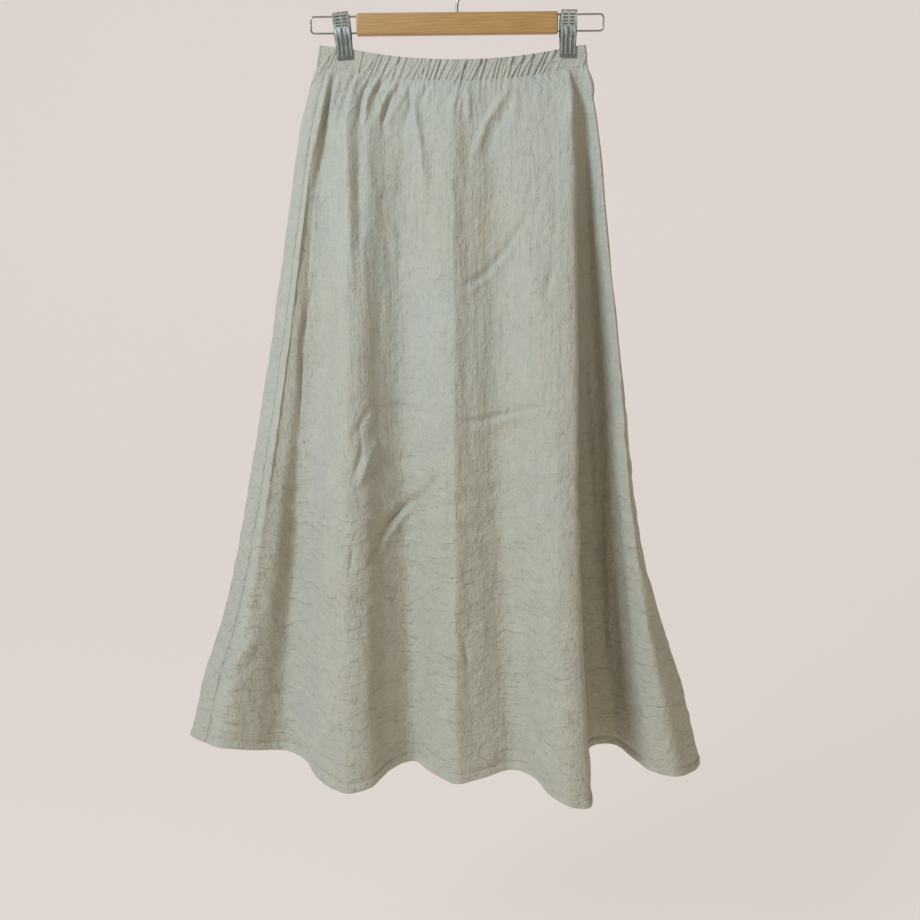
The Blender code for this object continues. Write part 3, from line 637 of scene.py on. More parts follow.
def paper_finish(name, colour, glow):
    """Backlit paper, which stays even from edge to edge."""
    g = Graph(name)
    cloud = g.noise(g.stretched(g.object_place(), (1.3, 1.3, 1.3)), 3.0)
    tint = g.mix(1.0, opaque(colour), g.grey(0.995 + cloud * 0.01), blend="MULTIPLY")
    shade = g.mix(1.0, tint, opaque((1.0 - glow,) * 3), blend="MULTIPLY")
    return g.finish(Base_Color=shade, Roughness=0.95 + cloud * 0.03, Specular_IOR_Level=0.0,
                    Emission_Color=tint, Emission_Strength=glow)


# ---------------------------------------------------------------- helpers for pieces

def deselect_everything():
    if bpy.context.object and bpy.context.object.mode != "OBJECT":
        bpy.ops.object.mode_set(mode="OBJECT")
    bpy.ops.object.select_all(action="DESELECT")


def choose(thing):
    """Make thing the only selected and the active object."""
    deselect_everything()
    thing.select_set(True)
    bpy.context.view_layer.objects.active = thing


def added(name):
    """Name the primitive that was just added."""
    thing = bpy.context.object
    thing.name = name
    thing.data.name = name
    return thing


def apply_modifier(thing, kind, **settings):
    """Add a modifier with those settings and apply it."""
    choose(thing)
    modifier = thing.modifiers.new(kind.lower(), kind)
    for name, value in settings.items():
        setattr(modifier, name, value)
    bpy.ops.object.modifier_apply(modifier=modifier.name)


def settle(thing):
    """Put the object's place, turn and size into its mesh."""
    choose(thing)
    bpy.ops.object.transform_apply(location=True, rotation=True, scale=True)


def copy_of(thing, name):
    """A copy with its own mesh."""
    twin = thing.copy()
    twin.data = thing.data.copy()
    twin.name = name
    twin.data.name = name
    bpy.context.collection.objects.link(twin)
    return twin


def dress(thing, material, *nodes, slot=None, smooth_angle=None):
    """Give a piece its material, its body and the solids that it stands for."""
    thing.data.materials.clear()
    thing.data.materials.append(material)
    if smooth_angle:
        choose(thing)
        bpy.ops.object.shade_smooth_by_angle(angle=math.radians(smooth_angle))
    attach(thing, "root")
    if nodes:
        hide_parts(*nodes)
    return thing


def pick(thing, element, test):
    """In edit mode, select only the faces or vertices that pass the test."""
    bpy.ops.mesh.select_all(action="DESELECT")
    bpy.ops.mesh.select_mode(type=element)
    cage = bmesh.from_edit_mesh(thing.data)
    for part in cage.faces if element == "FACE" else cage.verts:
        middle = part.calc_center_median() if element == "FACE" else part.co
        part.select_set(bool(test(middle, part.normal)))
    cage.select_flush_mode()
    bmesh.update_edit_mesh(thing.data)


def slice_through(axis, places):
    """In edit mode, cut the whole mesh at those places along an axis."""
    direction = [0.0, 0.0, 0.0]
    direction[axis] = 1.0
    for place in places:
        point = [0.0, 0.0, 0.0]
        point[axis] = place
        bpy.ops.mesh.select_all(action="SELECT")
        bpy.ops.mesh.bisect(plane_co=point, plane_no=direction)


# ---------------------------------------------------------------- the cloth's form

def soft_step(x):
    x = np.clip(x, 0.0, 1.0)
    return x * x * (3.0 - 2.0 * x)


def round_curve(points, steps):
    """A smooth closed curve through points, with that many steps to each next point."""
    points = np.asarray(points, dtype=float)
    count = len(points)
    out = []
    for i in range(count):
        p0, p1, p2, p3 = (points[(i + k) % count] for k in (-1, 0, 1, 2))
        knots = [0.0]
        for a, b in ((p0, p1), (p1, p2), (p2, p3)):
            knots.append(knots[-1] + math.sqrt(max(np.linalg.norm((b - a)[:2]), 1e-6)))
        t0, t1, t2, t3 = knots
        t = (t1 + (t2 - t1) * np.arange(steps[i]) / steps[i])[:, None]
        a1 = (t1 - t) / (t1 - t0) * p0 + (t - t0) / (t1 - t0) * p1
        a2 = (t2 - t) / (t2 - t1) * p1 + (t - t1) / (t2 - t1) * p2
        a3 = (t3 - t) / (t3 - t2) * p2 + (t - t2) / (t3 - t2) * p3
        b1 = (t2 - t) / (t2 - t0) * a1 + (t - t0) / (t2 - t0) * a2
        b2 = (t3 - t) / (t3 - t1) * a2 + (t - t1) / (t3 - t1) * a3
        out.append((t2 - t) / (t2 - t1) * b1 + (t - t1) / (t2 - t1) * b2)
    return np.concatenate(out)


def band_top(x):
    """Height of the band's top edge: it sags between the clips."""
    away = np.abs(x - BAND_MIDDLE)
    height = BAND_LOW + BAND_SAG * (np.minimum(away, BAND_HALF_SPAN) / BAND_HALF_SPAN) ** 2
    return height + BAND_END_SLOPE * np.maximum(away - BAND_HALF_SPAN, 0.0)


def band_depth(x):
    """Half of the band's depth: pressed flat at the clips, bowed out between them."""
    clip_edge = BAND_HALF_SPAN - CLIP_WIDTH / 2
    away = np.minimum(np.abs(x - BAND_MIDDLE) / clip_edge, 1.0)
    return BAND_END_ROUND + BAND_BELLY * np.cos(away * math.pi / 2) ** 2


def reach(down, side):
    """How far the outline reaches at that share of the way down, left or right."""
    rows = np.array(OUTLINE)
    column = 1 if side < 0 else 2
    slopes = np.gradient(rows[:, column], rows[:, 0])
    i = min(int(np.searchsorted(rows[:, 0], down, side="right")) - 1, len(rows) - 2)
    width = rows[i + 1, 0] - rows[i, 0]
    s = (down - rows[i, 0]) / width
    start, end = rows[i, column], rows[i + 1, column]
    return ((2 * s**3 - 3 * s**2 + 1) * start + (s**3 - 2 * s**2 + s) * width * slopes[i]
            + (3 * s**2 - 2 * s**3) * end + (s**3 - s**2) * width * slopes[i + 1])


@functools.lru_cache(maxsize=None)
def panel_rows():
    """Shares of the way down for the rows of faces: close at the gathers and at the hem."""
    gathers = np.arange(0.0, GATHER_ZONE, GATHER_ROW)
    hem_rows = PANEL_DROP - np.array(HEM_ROWS)
    body = [GATHER_ZONE]
    while body[-1] < hem_rows[0]:
        close = any(start < body[-1] < end for start, end in CLOSE_ROWS)
        body.append(body[-1] + (CLOSE_ROW if close else BODY_ROW))
    body = body[:-2]
    return np.concatenate([gathers, body, hem_rows]) / PANEL_DROP


def skirt_ring(down):
    """The skirt's outside at that share of the way down, all round; z holds the hem's rise."""
    points = []
    for _name, top, hem, drift, side, depth, rise, _columns in FOLDS:
        across = top + (hem - top) * down ** drift
        waist = side * band_depth(top * reach(0.0, top))
        y = waist * (1.0 - down) + depth * down ** SWELL_POWER
        points.append((across * reach(down, across), y, rise))
    return round_curve(points, [row[-1] * PANEL_FINENESS for row in FOLDS])


def casing_side(x):
    """Half of the casing's depth at x, with its round ends."""
    left, right = OUTLINE[0][1:]
    into_end = np.maximum(np.maximum(-left + BAND_END_ROUND - x, x - right + BAND_END_ROUND), 0.0)
    rounding = np.sqrt(np.maximum(BAND_END_ROUND ** 2 - into_end ** 2, 0.0)) / BAND_END_ROUND
    return band_depth(x) * rounding


@functools.lru_cache(maxsize=None)
def whole_skirt():
    """Points of the skirt's outside by row and column, all round."""
    waist = skirt_ring(0.0)
    top = band_top(waist[:, 0]) - CASING
    bottom = HEM_LEVEL + skirt_ring(1.0)[:, 2]
    rows = []
    for down in panel_rows():
        ring = skirt_ring(down)
        at_waist = 1.0 - soft_step(down * PANEL_DROP / CASING_BLEND)
        side = np.where(waist[:, 1] < 0.0, -1.0, 1.0) * casing_side(waist[:, 0])
        ring[:, 1] += (side - waist[:, 1]) * at_waist
        ring[:, 2] = top + (bottom - top) * down
        rows.append(ring)
    return np.array(rows)


def panel_columns(face):
    """The columns of a panel, from its first seam to its second."""
    names = [row[0] for row in FOLDS]
    counts = [row[-1] * PANEL_FINENESS for row in FOLDS]
    around = sum(counts)
    first, second = (sum(counts[:names.index(seam)]) for seam in SEAMS[face])
    pressed = sum(counts[:names.index(PRESSED_LINE[face])])
    count = (second - first) % around + 1
    return (first + np.arange(count)) % around, (pressed - first) % around


def lengths_along(points, axis):
    """Distances along rows or columns of points, from 0."""
    steps = np.linalg.norm(np.diff(points, axis=axis), axis=-1)
    start = np.zeros_like(np.take(steps, [0], axis=axis))
    return np.concatenate([start, np.cumsum(steps, axis=axis)], axis=axis)


def outward_of(points):
    """Unit vectors that point out of a sheet whose rows run down and columns run onwards."""
    down = np.gradient(points, axis=0)
    along = np.gradient(points, axis=1)
    out = np.cross(down, along)
    return out / np.linalg.norm(out, axis=2)[:, :, None]


def noise_at(points, scale, shift=0.0):
    """Soft noise from -1 to 1 at points, with a scale for each axis."""
    places = (points * np.array(scale) + shift).reshape(-1, 3)
    return np.array([noise.noise(Vector(place)) for place in places]).reshape(points.shape[:2])


def smooth_path(points):
    """A smooth open line through a few points, as short straight pieces."""
    points = np.array(points)
    spread = np.linspace(0.0, len(points) - 1.0, (len(points) - 1) * 5 + 1)
    slopes = np.gradient(points, axis=0)
    out = []
    for place in spread:
        i = min(int(place), len(points) - 2)
        s = place - i
        out.append((2 * s**3 - 3 * s**2 + 1) * points[i] + (s**3 - 2 * s**2 + s) * slopes[i]
                   + (3 * s**2 - 2 * s**3) * points[i + 1] + (s**3 - s**2) * slopes[i + 1])
    return np.array(out)


def crease_relief(points, creases):
    """Height that the creases add at points: soft lines that fade out at their ends."""
    spots = points[:, :, (0, 2)]
    relief = np.zeros(spots.shape[:2])
    for name, height, width, path_points in creases:
        path = smooth_path(path_points)
        margin = 3.5 * width
        near = np.all((spots > path.min(axis=0) - margin) & (spots < path.max(axis=0) + margin), axis=2)
        here = spots[near]
        if len(here) == 0:
            raise RuntimeError(f"the crease {name} lies off the cloth")
        best = np.full(len(here), np.inf)
        place = np.zeros(len(here))
        run = lengths_along(path, 0)
        for start, end, begin in zip(path[:-1], path[1:], run[:-1]):
            leg = end - start
            length = np.linalg.norm(leg)
            share = np.clip(((here - start) @ leg) / length ** 2, 0.0, 1.0)
            distance = np.linalg.norm(here - start - share[:, None] * leg, axis=1)
            closer = distance < best
            best[closer] = distance[closer]
            place[closer] = (begin + share * length)[closer]
        along = place / run[-1]
        fade = np.sin(math.pi * np.clip(along, 0.0, 1.0)) ** 0.7
        broken = np.array([noise.noise(Vector((step * CREASE_BREAK, height * 1e4, 0.0))) for step in place])
        relief[near] += height * fade * (1.0 + 0.28 * broken) * np.exp(-(best / width) ** 2)
    return relief


@functools.lru_cache(maxsize=None)
def gathers(face):
    """The gathers of one face of the waistband, each with its place across, its share of
    the full height, its half-width, how it leans, and how far it runs down the panel."""
    spread = random.Random(GATHER_SEEDS[face])
    out = []
    for start, end, step_low, step_high, share in GATHER_STRETCHES:
        x = start
        while x < end:
            out.append((x, share * spread.uniform(0.55, 1.20), spread.uniform(0.0010, 0.0019),
                        spread.uniform(0.20, 0.70), spread.uniform(0.012, 0.055)))
            x += spread.uniform(step_low, step_high)
    return out


def gather_relief(x, z, face):
    """Height of the gathers at x and z: full across the casing, fading down the panel."""
    relief = np.zeros_like(x)
    below = np.maximum(band_top(x) - CASING - z, 0.0)
    above = np.maximum(z - band_top(x) + CASING, 0.0)
    for place, share, width, lean, length in gathers(face):
        fade = np.exp(-(below / length) ** 1.5)
        fan = 1.0 if place < FAN_END else 0.2
        wander = lean * above - lean * fan * below
        spreading = width * (1.0 + below / 0.018)
        off = (x - place - wander) / spreading
        groove = np.exp(-((off - 1.6) / 0.7) ** 2) * GATHER_GROOVE
        relief += share * fade * (np.exp(-off ** 2) - groove)
    return relief - GATHER_MEAN * np.exp(-below / 0.03)


@functools.lru_cache(maxsize=None)
def panel_surface(face, gather_depth, press_height, sway_depth, crumple_depth):
    """A panel's outside with its folds, gathers and creases: points and outward vectors."""
    columns, pressed = panel_columns(face)
    base = whole_skirt()[:, columns]
    out = outward_of(base)
    along = lengths_along(base, 1)
    from_seam = np.minimum(along, along[:, -1:] - along)
    below = base[:1, :, 2] - base[:, :, 2]
    above_hem = base[:, :, 2] - base[-1:, :, 2]
    body = soft_step(below / 0.12)
    open_cloth = soft_step(from_seam / 0.012)
    sway = noise_at(base, (9.0, 4.0, 2.4), 3.0) + 0.45 * noise_at(base, (21.0, 8.0, 5.0), 9.0)
    lower = soft_step((below - 0.22) / 0.28)
    upright = noise_at(base, (62.0, 30.0, 13.0), 1.0) + 0.5 * noise_at(base, (120.0, 60.0, 24.0), 5.0)
    level = noise_at(base, (30.0, 20.0, 52.0), 14.0) + 0.7 * noise_at(base, (60.0, 40.0, 92.0), 8.0)
    crumple = upright * (1.0 - 0.55 * lower) + level * (0.25 + 0.75 * lower)
    patchy = 0.45 + 0.55 * soft_step(0.5 + noise_at(base, (7.0, 7.0, 6.0), 21.0))
    relief = sway * sway_depth * body * (0.35 + 0.65 * open_cloth)
    clear = soft_step(below / 0.008)
    relief += crumple * patchy * crumple_depth * (0.4 + 0.6 * body) * clear
    relief += crease_relief(base, CREASES[face]) * open_cloth * clear * CREASE_SCALE
    relief += gather_relief(base[:, :, 0], base[:, :, 2], face) * gather_depth * open_cloth
    from_press = along - along[:, pressed:pressed + 1]
    press_reach = np.where(from_press < 0.0, *PRESS_WIDTHS)
    pressed_fade = soft_step((below - 0.010) / 0.05)
    ridge = np.maximum(1.0 - np.abs(from_press) / press_reach, 0.0) ** 1.4
    relief += ridge * press_height * pressed_fade * (0.25 + 0.75 * soft_step(above_hem / 0.12))
    relief -= SEAM_DEPTH * np.exp(-(from_seam / SEAM_WIDTH) ** 2)
    stitched = np.exp(-((above_hem - HEM_TURN) / 0.0016) ** 2)
    flutter = noise_at(base, (120.0, 120.0, 30.0), 31.0)
    relief += HEM_STANDS * soft_step(1.0 - (above_hem - HEM_TURN) / 0.002)
    relief -= stitched * HEM_GROOVE * (1.0 + 0.8 * flutter)
    relief += flutter * 0.0007 * soft_step(1.0 - above_hem / 0.03)
    return base + out * relief[:, :, None], out


def sheet_mesh(name, points, lie, closed=False):
    """A sheet of faces over rows and columns of points, with the cloth's own coordinates."""
    rows, columns = points.shape[:2]
    index = np.arange(rows * columns).reshape(rows, columns)
    right = np.roll(index, -1, axis=1) if closed else index[:, 1:]
    left = index if closed else index[:, :-1]
    quads = np.stack([left[:-1], left[1:], right[1:], right[:-1]], axis=-1).reshape(-1, 4)
    mesh = bpy.data.meshes.new(name)
    mesh.from_pydata(points.reshape(-1, 3).tolist(), [], quads.tolist())
    layer = mesh.uv_layers.new(name="cloth")
    corners = np.empty(len(mesh.loops), dtype=np.int32)
    mesh.loops.foreach_get("vertex_index", corners)
    layer.data.foreach_set("uv", lie.reshape(-1, 2)[corners].astype(np.float32).ravel())
    mesh.shade_smooth()
    thing = bpy.data.objects.new(name, mesh)
    bpy.context.collection.objects.link(thing)
    return thing


def cloth_settings():
    cloth = bpy.context.scene.skirt_cloth
    return cloth, (cloth.gather_depth, cloth.press_height, cloth.sway_depth, cloth.crumple_depth)


# ---------------------------------------------------------------- pieces of cloth

class SKIRT_OT_panels(bpy.types.Operator):
    """Make the front and back panels, each one sheet with its hem turned up"""

    bl_idname = "skirt.panels"
    bl_label = "Front and Back Panels"

    def execute(self, context):
        cloth, relief = cloth_settings()
        material = linen_finish("washed_linen", cloth, 1.0, 0.7)
        for face in ("front", "back"):
            points, out = panel_surface(face, *relief)
            _columns, pressed = panel_columns(face)
            tuck = self.tucked_edge(points, out)
            turn = self.turned_hem(points, out)
            sheet = np.concatenate([tuck, points, turn])
            across = lengths_along(sheet, 1)
            across -= across[:, pressed:pressed + 1]
            down = lengths_along(sheet, 0)[:, pressed]
            lie = np.stack([across, np.broadcast_to(-down[:, None], across.shape)], axis=2)
            piece = sheet_mesh(f"skirt_{face}_panel", sheet, lie)
            apply_modifier(piece, "SOLIDIFY", thickness=cloth.thickness, offset=-1.0, use_even_offset=False)
            dress(piece, material, f"skirt_{face}", slot="linen")
        return {"FINISHED"}

    def tucked_edge(self, points, out):
        """Two rows that carry the panel up inside the casing."""
        rows = []
        for climb, inset in TUCK_ROWS:
            row = points[0] - out[0] * inset
            row[:, 2] += climb
            rows.append(row)
        return np.array(rows)

    def turned_hem(self, points, out):
        """Rows that roll round the hem's edge and climb inside it."""
        last = points[-1]
        rows = [last - out[-1] * share * HEM_FOLD + np.array((0.0, 0.0, -drop)) for share, drop in HEM_ROLL]
        for back in range(2, len(HEM_ROWS) + 1):
            rows.append(points[-back] - out[-back] * HEM_FOLD)
        return np.array(rows)


class SKIRT_OT_waistband(bpy.types.Operator):
    """Make the gathered waistband: one strip folded over the elastic"""

    bl_idname = "skirt.waistband"
    bl_label = "Waistband"

    def execute(self, context):
        cloth, _relief = cloth_settings()
        rows = []
        for share, inset in self.section():
            ring, out = self.ring(share)
            x = ring[:, 0]
            height = band_top(x) - CASING * (1.0 - share)
            ring[:, 2] = height
            front = gather_relief(x, height, "front")
            back = gather_relief(x, height, "back")
            gather = np.where(ring[:, 1] < 0.0, front, back)
            turned = soft_step(1.0 - max(inset, 0.0) / BAND_WALL * 1.6)
            lift = gather * cloth.gather_depth * (0.25 + 0.75 * turned) - inset
            ring += out * lift[:, None]
            ring[:, 2] += gather * BAND_SCALLOP * soft_step((share - 0.8) / 0.2)
            rows.append(ring)
        points = np.array(rows)
        around = lengths_along(points[:, list(range(points.shape[1])) + [0]], 1)[:, :-1]
        up = lengths_along(points, 0)[:, 0]
        lie = np.stack([around * BAND_FULLNESS, np.broadcast_to(up[:, None], around.shape)], axis=2)
        piece = sheet_mesh("waistband_casing", points[::-1], lie[::-1], closed=True)
        apply_modifier(piece, "SOLIDIFY", thickness=cloth.thickness * 0.8, offset=-1.0, use_even_offset=False)
        dress(piece, linen_finish("gathered_linen", cloth, 0.8, 0.9), "waistband", slot="linen_band")
        return {"FINISHED"}

    def section(self):
        """How high and how far in each row of the folded strip lies, from the outer stitch
        line over the top and down the inside."""
        inner = BAND_WALL - 0.0009
        rows = [(-BAND_LAP / CASING, -0.00015)] + [(share, 0.0) for share in np.linspace(0.02, 0.93, 15)]
        for angle in np.linspace(0.0, math.pi, 9)[1:-1]:
            rows.append((0.93 + 0.07 * math.sin(angle), inner / 2 * (1.0 - math.cos(angle))))
        rows += [(share, inner) for share in np.linspace(0.93, 0.0, 9)]
        return rows

    def ring(self, share):
        """The band from above, once round, and the level vectors that point out of it."""
        ends = [OUTLINE[0][1 + k] + (BAND_TOP_REACH[k] - OUTLINE[0][1 + k]) * share for k in (0, 1)]
        start, end = -ends[0] + BAND_END_ROUND, ends[1] - BAND_END_ROUND
        run = np.linspace(start, end, int(BAND_FACE_LENGTH / BAND_GATHER_STEP))
        turn = np.linspace(-math.pi / 2, math.pi / 2, BAND_END_COLUMNS)[1:-1]
        depth = band_depth(run)
        front = np.stack([run, -depth], axis=1)
        right = np.stack([end + BAND_END_ROUND * np.cos(turn), BAND_END_ROUND * np.sin(turn)], axis=1)
        back = np.stack([run[::-1], depth[::-1]], axis=1)
        left = np.stack([start - BAND_END_ROUND * np.cos(turn), -BAND_END_ROUND * np.sin(turn)], axis=1)
        flat = np.concatenate([front, right, back, left])
        ring = np.concatenate([flat, np.zeros((len(flat), 1))], axis=1)
        along = np.roll(ring, -1, axis=0) - np.roll(ring, 1, axis=0)
        out = np.stack([along[:, 1], -along[:, 0], np.zeros(len(ring))], axis=1)
        return ring, out / np.linalg.norm(out, axis=1)[:, None]


def sew(name, path, out, stitch, thickness, gap):
    """Stitches along a line of points: each a short thread, thin at its ends."""
    run = lengths_along(path, 0)
    count = int(run[-1] / stitch)
    points = []
    faces = []
    for k in range(count):
        ends = np.array([k + gap / 2, k + 1 - gap / 2]) * stitch
        spots = np.array([[np.interp(end, run, path[:, axis]) for axis in range(3)] for end in ends])
        up = np.array([np.interp(ends.mean(), run, out[:, axis]) for axis in range(3)])
        along = spots[1] - spots[0]
        along /= np.linalg.norm(along)
        side = np.cross(along, up)
        first = len(points)
        for place, size in STITCH_RINGS:
            middle = spots[0] + (spots[1] - spots[0]) * place + up * thickness * (size - 0.7)
            for a in np.arange(6) * math.pi / 3:
                points.append(middle + (side * math.cos(a) + up * math.sin(a) * 0.8) * thickness / 2 * size)
        for ring in range(len(STITCH_RINGS) - 1):
            low = first + ring * 6
            for a in range(6):
                b = (a + 1) % 6
                faces.append((low + a, low + b, low + 6 + b, low + 6 + a))
        faces.append(tuple(first + a for a in reversed(range(6))))
        last = first + (len(STITCH_RINGS) - 1) * 6
        faces.append(tuple(last + a for a in range(6)))
    mesh = bpy.data.meshes.new(name)
    mesh.from_pydata([tuple(point) for point in points], [], faces)
    mesh.shade_smooth()
    thing = bpy.data.objects.new(name, mesh)
    bpy.context.collection.objects.link(thing)
    choose(thing)
    bpy.ops.object.mode_set(mode="EDIT")
    bpy.ops.mesh.select_all(action="SELECT")
    bpy.ops.mesh.normals_make_consistent(inside=False)
    bpy.ops.object.mode_set(mode="OBJECT")
    return thing


class SKIRT_OT_stitches(bpy.types.Operator):
    """Sew the lines of stitches under the casing and round the hem"""

    bl_idname = "skirt.stitches"
    bl_label = "Stitches"

    def execute(self, context):
        cloth, relief = cloth_settings()
        material = thread_finish(cloth)
        for face in ("front", "back"):
            points, out = panel_surface(face, *relief)
            hem_row = len(points) - len(HEM_ROWS) + HEM_ROWS.index(HEM_TURN)
            sewn = {
                "hem": (points[hem_row], out[hem_row]),
                "casing": (points[CASING_STITCH_ROW], out[CASING_STITCH_ROW]),
            }
            for label, (path, up) in sewn.items():
                thread = sew(f"{label}_stitches_{face}", path + up * 0.00008, up, cloth.stitch_length,
                             THREAD_THICKNESS, 0.22)
                dress(thread, material, slot="linen")
        return {"FINISHED"}


# ---------------------------------------------------------------- hanger

class SKIRT_OT_bar(bpy.types.Operator):
    """Shape the wooden bar and bore it for the hook and the wires"""

    bl_idname = "skirt.bar"
    bl_label = "Wooden Bar"

    def execute(self, context):
        hanger = context.scene.skirt_hanger
        low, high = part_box("wood_bar")
        middle = (low + high) / 2
        deselect_everything()
        bpy.ops.mesh.primitive_cube_add(size=1.0, location=middle)
        bar = added("beech_bar")
        bar.scale = high - low
        settle(bar)
        bpy.ops.object.mode_set(mode="EDIT")
        bpy.ops.mesh.select_all(action="SELECT")
        bpy.ops.mesh.bevel(offset=hanger.bar_rounding, segments=6, affect="EDGES", profile=0.5)
        bpy.ops.object.mode_set(mode="OBJECT")
        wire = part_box("wire_left")
        wire_radius = (wire[1].y - wire[0].y) / 2
        heights = (wire[0].z + wire_radius, wire[1].z - wire_radius)
        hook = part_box("hook")
        hook_radius = (hook[1].y - hook[0].y) / 2
        bores = [((0.0, 0.0, high.z), (0.0, 0.0, 0.0), hook_radius)]
        for end in (low.x, high.x):
            bores += [((end, 0.0, height), (0.0, math.pi / 2, 0.0), wire_radius) for height in heights]
        for place, turn, radius in bores:
            deselect_everything()
            bpy.ops.mesh.primitive_cylinder_add(
                vertices=24, radius=radius + 0.0002, depth=0.028, location=place, rotation=turn)
            tool = added("bore")
            apply_modifier(bar, "BOOLEAN", operation="DIFFERENCE", object=tool, solver="EXACT")
            bpy.data.objects.remove(tool, do_unlink=True)
        dress(bar, beech_finish(hanger), "wood_bar", slot="beech", smooth_angle=35)
        return {"FINISHED"}


def start_wire(name, place, across, radius):
    """A round disc of wire end at place, ready to be drawn out, in edit mode."""
    deselect_everything()
    turn = across.to_track_quat("Z", "Y").to_euler()
    bpy.ops.mesh.primitive_circle_add(
        vertices=WIRE_SIDES, radius=radius, fill_type="NGON", location=place, rotation=turn)
    wire = added(name)
    settle(wire)
    bpy.ops.object.mode_set(mode="EDIT")
    bpy.ops.mesh.select_mode(type="FACE")
    bpy.ops.mesh.select_all(action="SELECT")
    return wire


def run_wire(place, heading, length):
    """Draw the selected end straight on; the result is where it then is."""
    move = heading * length
    bpy.ops.mesh.extrude_region_move(TRANSFORM_OT_translate={"value": move})
    return place + move


def bend_wire(place, heading, radius, degrees, steps):
    """Spin the selected end round a bend in the XZ plane, anticlockwise seen from the front."""
    turn = math.radians(degrees)
    side = Vector((-heading.z, 0.0, heading.x)) * math.copysign(1.0, degrees)
    centre = place + side * radius
    bpy.ops.mesh.spin(steps=steps, angle=turn, center=centre, axis=(0.0, 1.0, 0.0))
    spoke = place - centre
    cosine, sine = math.cos(turn), math.sin(turn)
    turned = Vector((spoke.x * cosine - spoke.z * sine, 0.0, spoke.x * sine + spoke.z * cosine))
    ahead = Vector((heading.x * cosine - heading.z * sine, 0.0, heading.x * sine + heading.z * cosine))
    return centre + turned, ahead


def end_wire():
    """Leave edit mode with the doubles merged and the faces outwards."""
    bpy.ops.mesh.select_all(action="SELECT")
    bpy.ops.mesh.remove_doubles(threshold=WELD_DISTANCE)
    bpy.ops.mesh.normals_make_consistent(inside=False)
    bpy.ops.object.mode_set(mode="OBJECT")


class SKIRT_OT_wires(bpy.types.Operator):
    """Bend the hook and the two wire loops"""

    bl_idname = "skirt.wires"
    bl_label = "Hook and Wire Loops"

    def execute(self, context):
        hanger = context.scene.skirt_hanger
        plated = metal_finish("plated_wire", hanger.wire_colour, 0.26, (900.0, 900.0, 900.0), 0.6)
        self.hook(plated)
        for side, label in ((-1.0, "left"), (1.0, "right")):
            self.loop(side, label, plated)
        return {"FINISHED"}

    def hook(self, plated):
        low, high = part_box("hook")
        radius = (high.y - low.y) / 2
        bow_radius = high.x - radius
        centre = Vector((0.0, 0.0, high.z - radius - bow_radius))
        begin = math.radians(HOOK_BOW_START)
        target = centre + Vector((math.cos(begin), 0.0, math.sin(begin))) * bow_radius
        lean = math.radians(90.0) - (begin + math.radians(90.0))
        straight = (target.x - NECK_RADIUS * (1.0 - math.cos(lean))) / math.sin(lean)
        neck = target.z - NECK_RADIUS * math.sin(lean) - straight * math.cos(lean)
        place = Vector((0.0, 0.0, low.z))
        heading = Vector((0.0, 0.0, 1.0))
        wire = start_wire("wire_hook", place, heading, radius)
        place = run_wire(place, heading, neck - low.z)
        place, heading = bend_wire(place, heading, NECK_RADIUS, -math.degrees(lean), NECK_STEPS)
        place = run_wire(place, heading, straight)
        bend_wire(place, heading, bow_radius, HOOK_BOW_TURN, BOW_STEPS)
        end_wire()
        dress(wire, plated, "hook", slot="steel_wire", smooth_angle=50)

    def loop(self, side, label, plated):
        low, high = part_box(f"wire_{label}")
        radius = (high.y - low.y) / 2
        inside, outside = (low.x, high.x) if side > 0 else (high.x, low.x)
        corner = LOOP_CORNER
        place = Vector((inside, 0.0, high.z - radius))
        heading = Vector((side, 0.0, 0.0))
        wire = start_wire(f"loop_wire_{label}", place, heading, radius)
        straight = abs(outside - inside) - radius - corner
        place = run_wire(place, heading, straight)
        place, heading = bend_wire(place, heading, corner, -90.0 * side, CORNER_STEPS)
        place = run_wire(place, heading, high.z - low.z - 2 * radius - 2 * corner)
        place, heading = bend_wire(place, heading, corner, -90.0 * side, CORNER_STEPS)
        run_wire(place, heading, straight)
        end_wire()
        dress(wire, plated, f"wire_{label}", slot="steel_wire", smooth_angle=50)


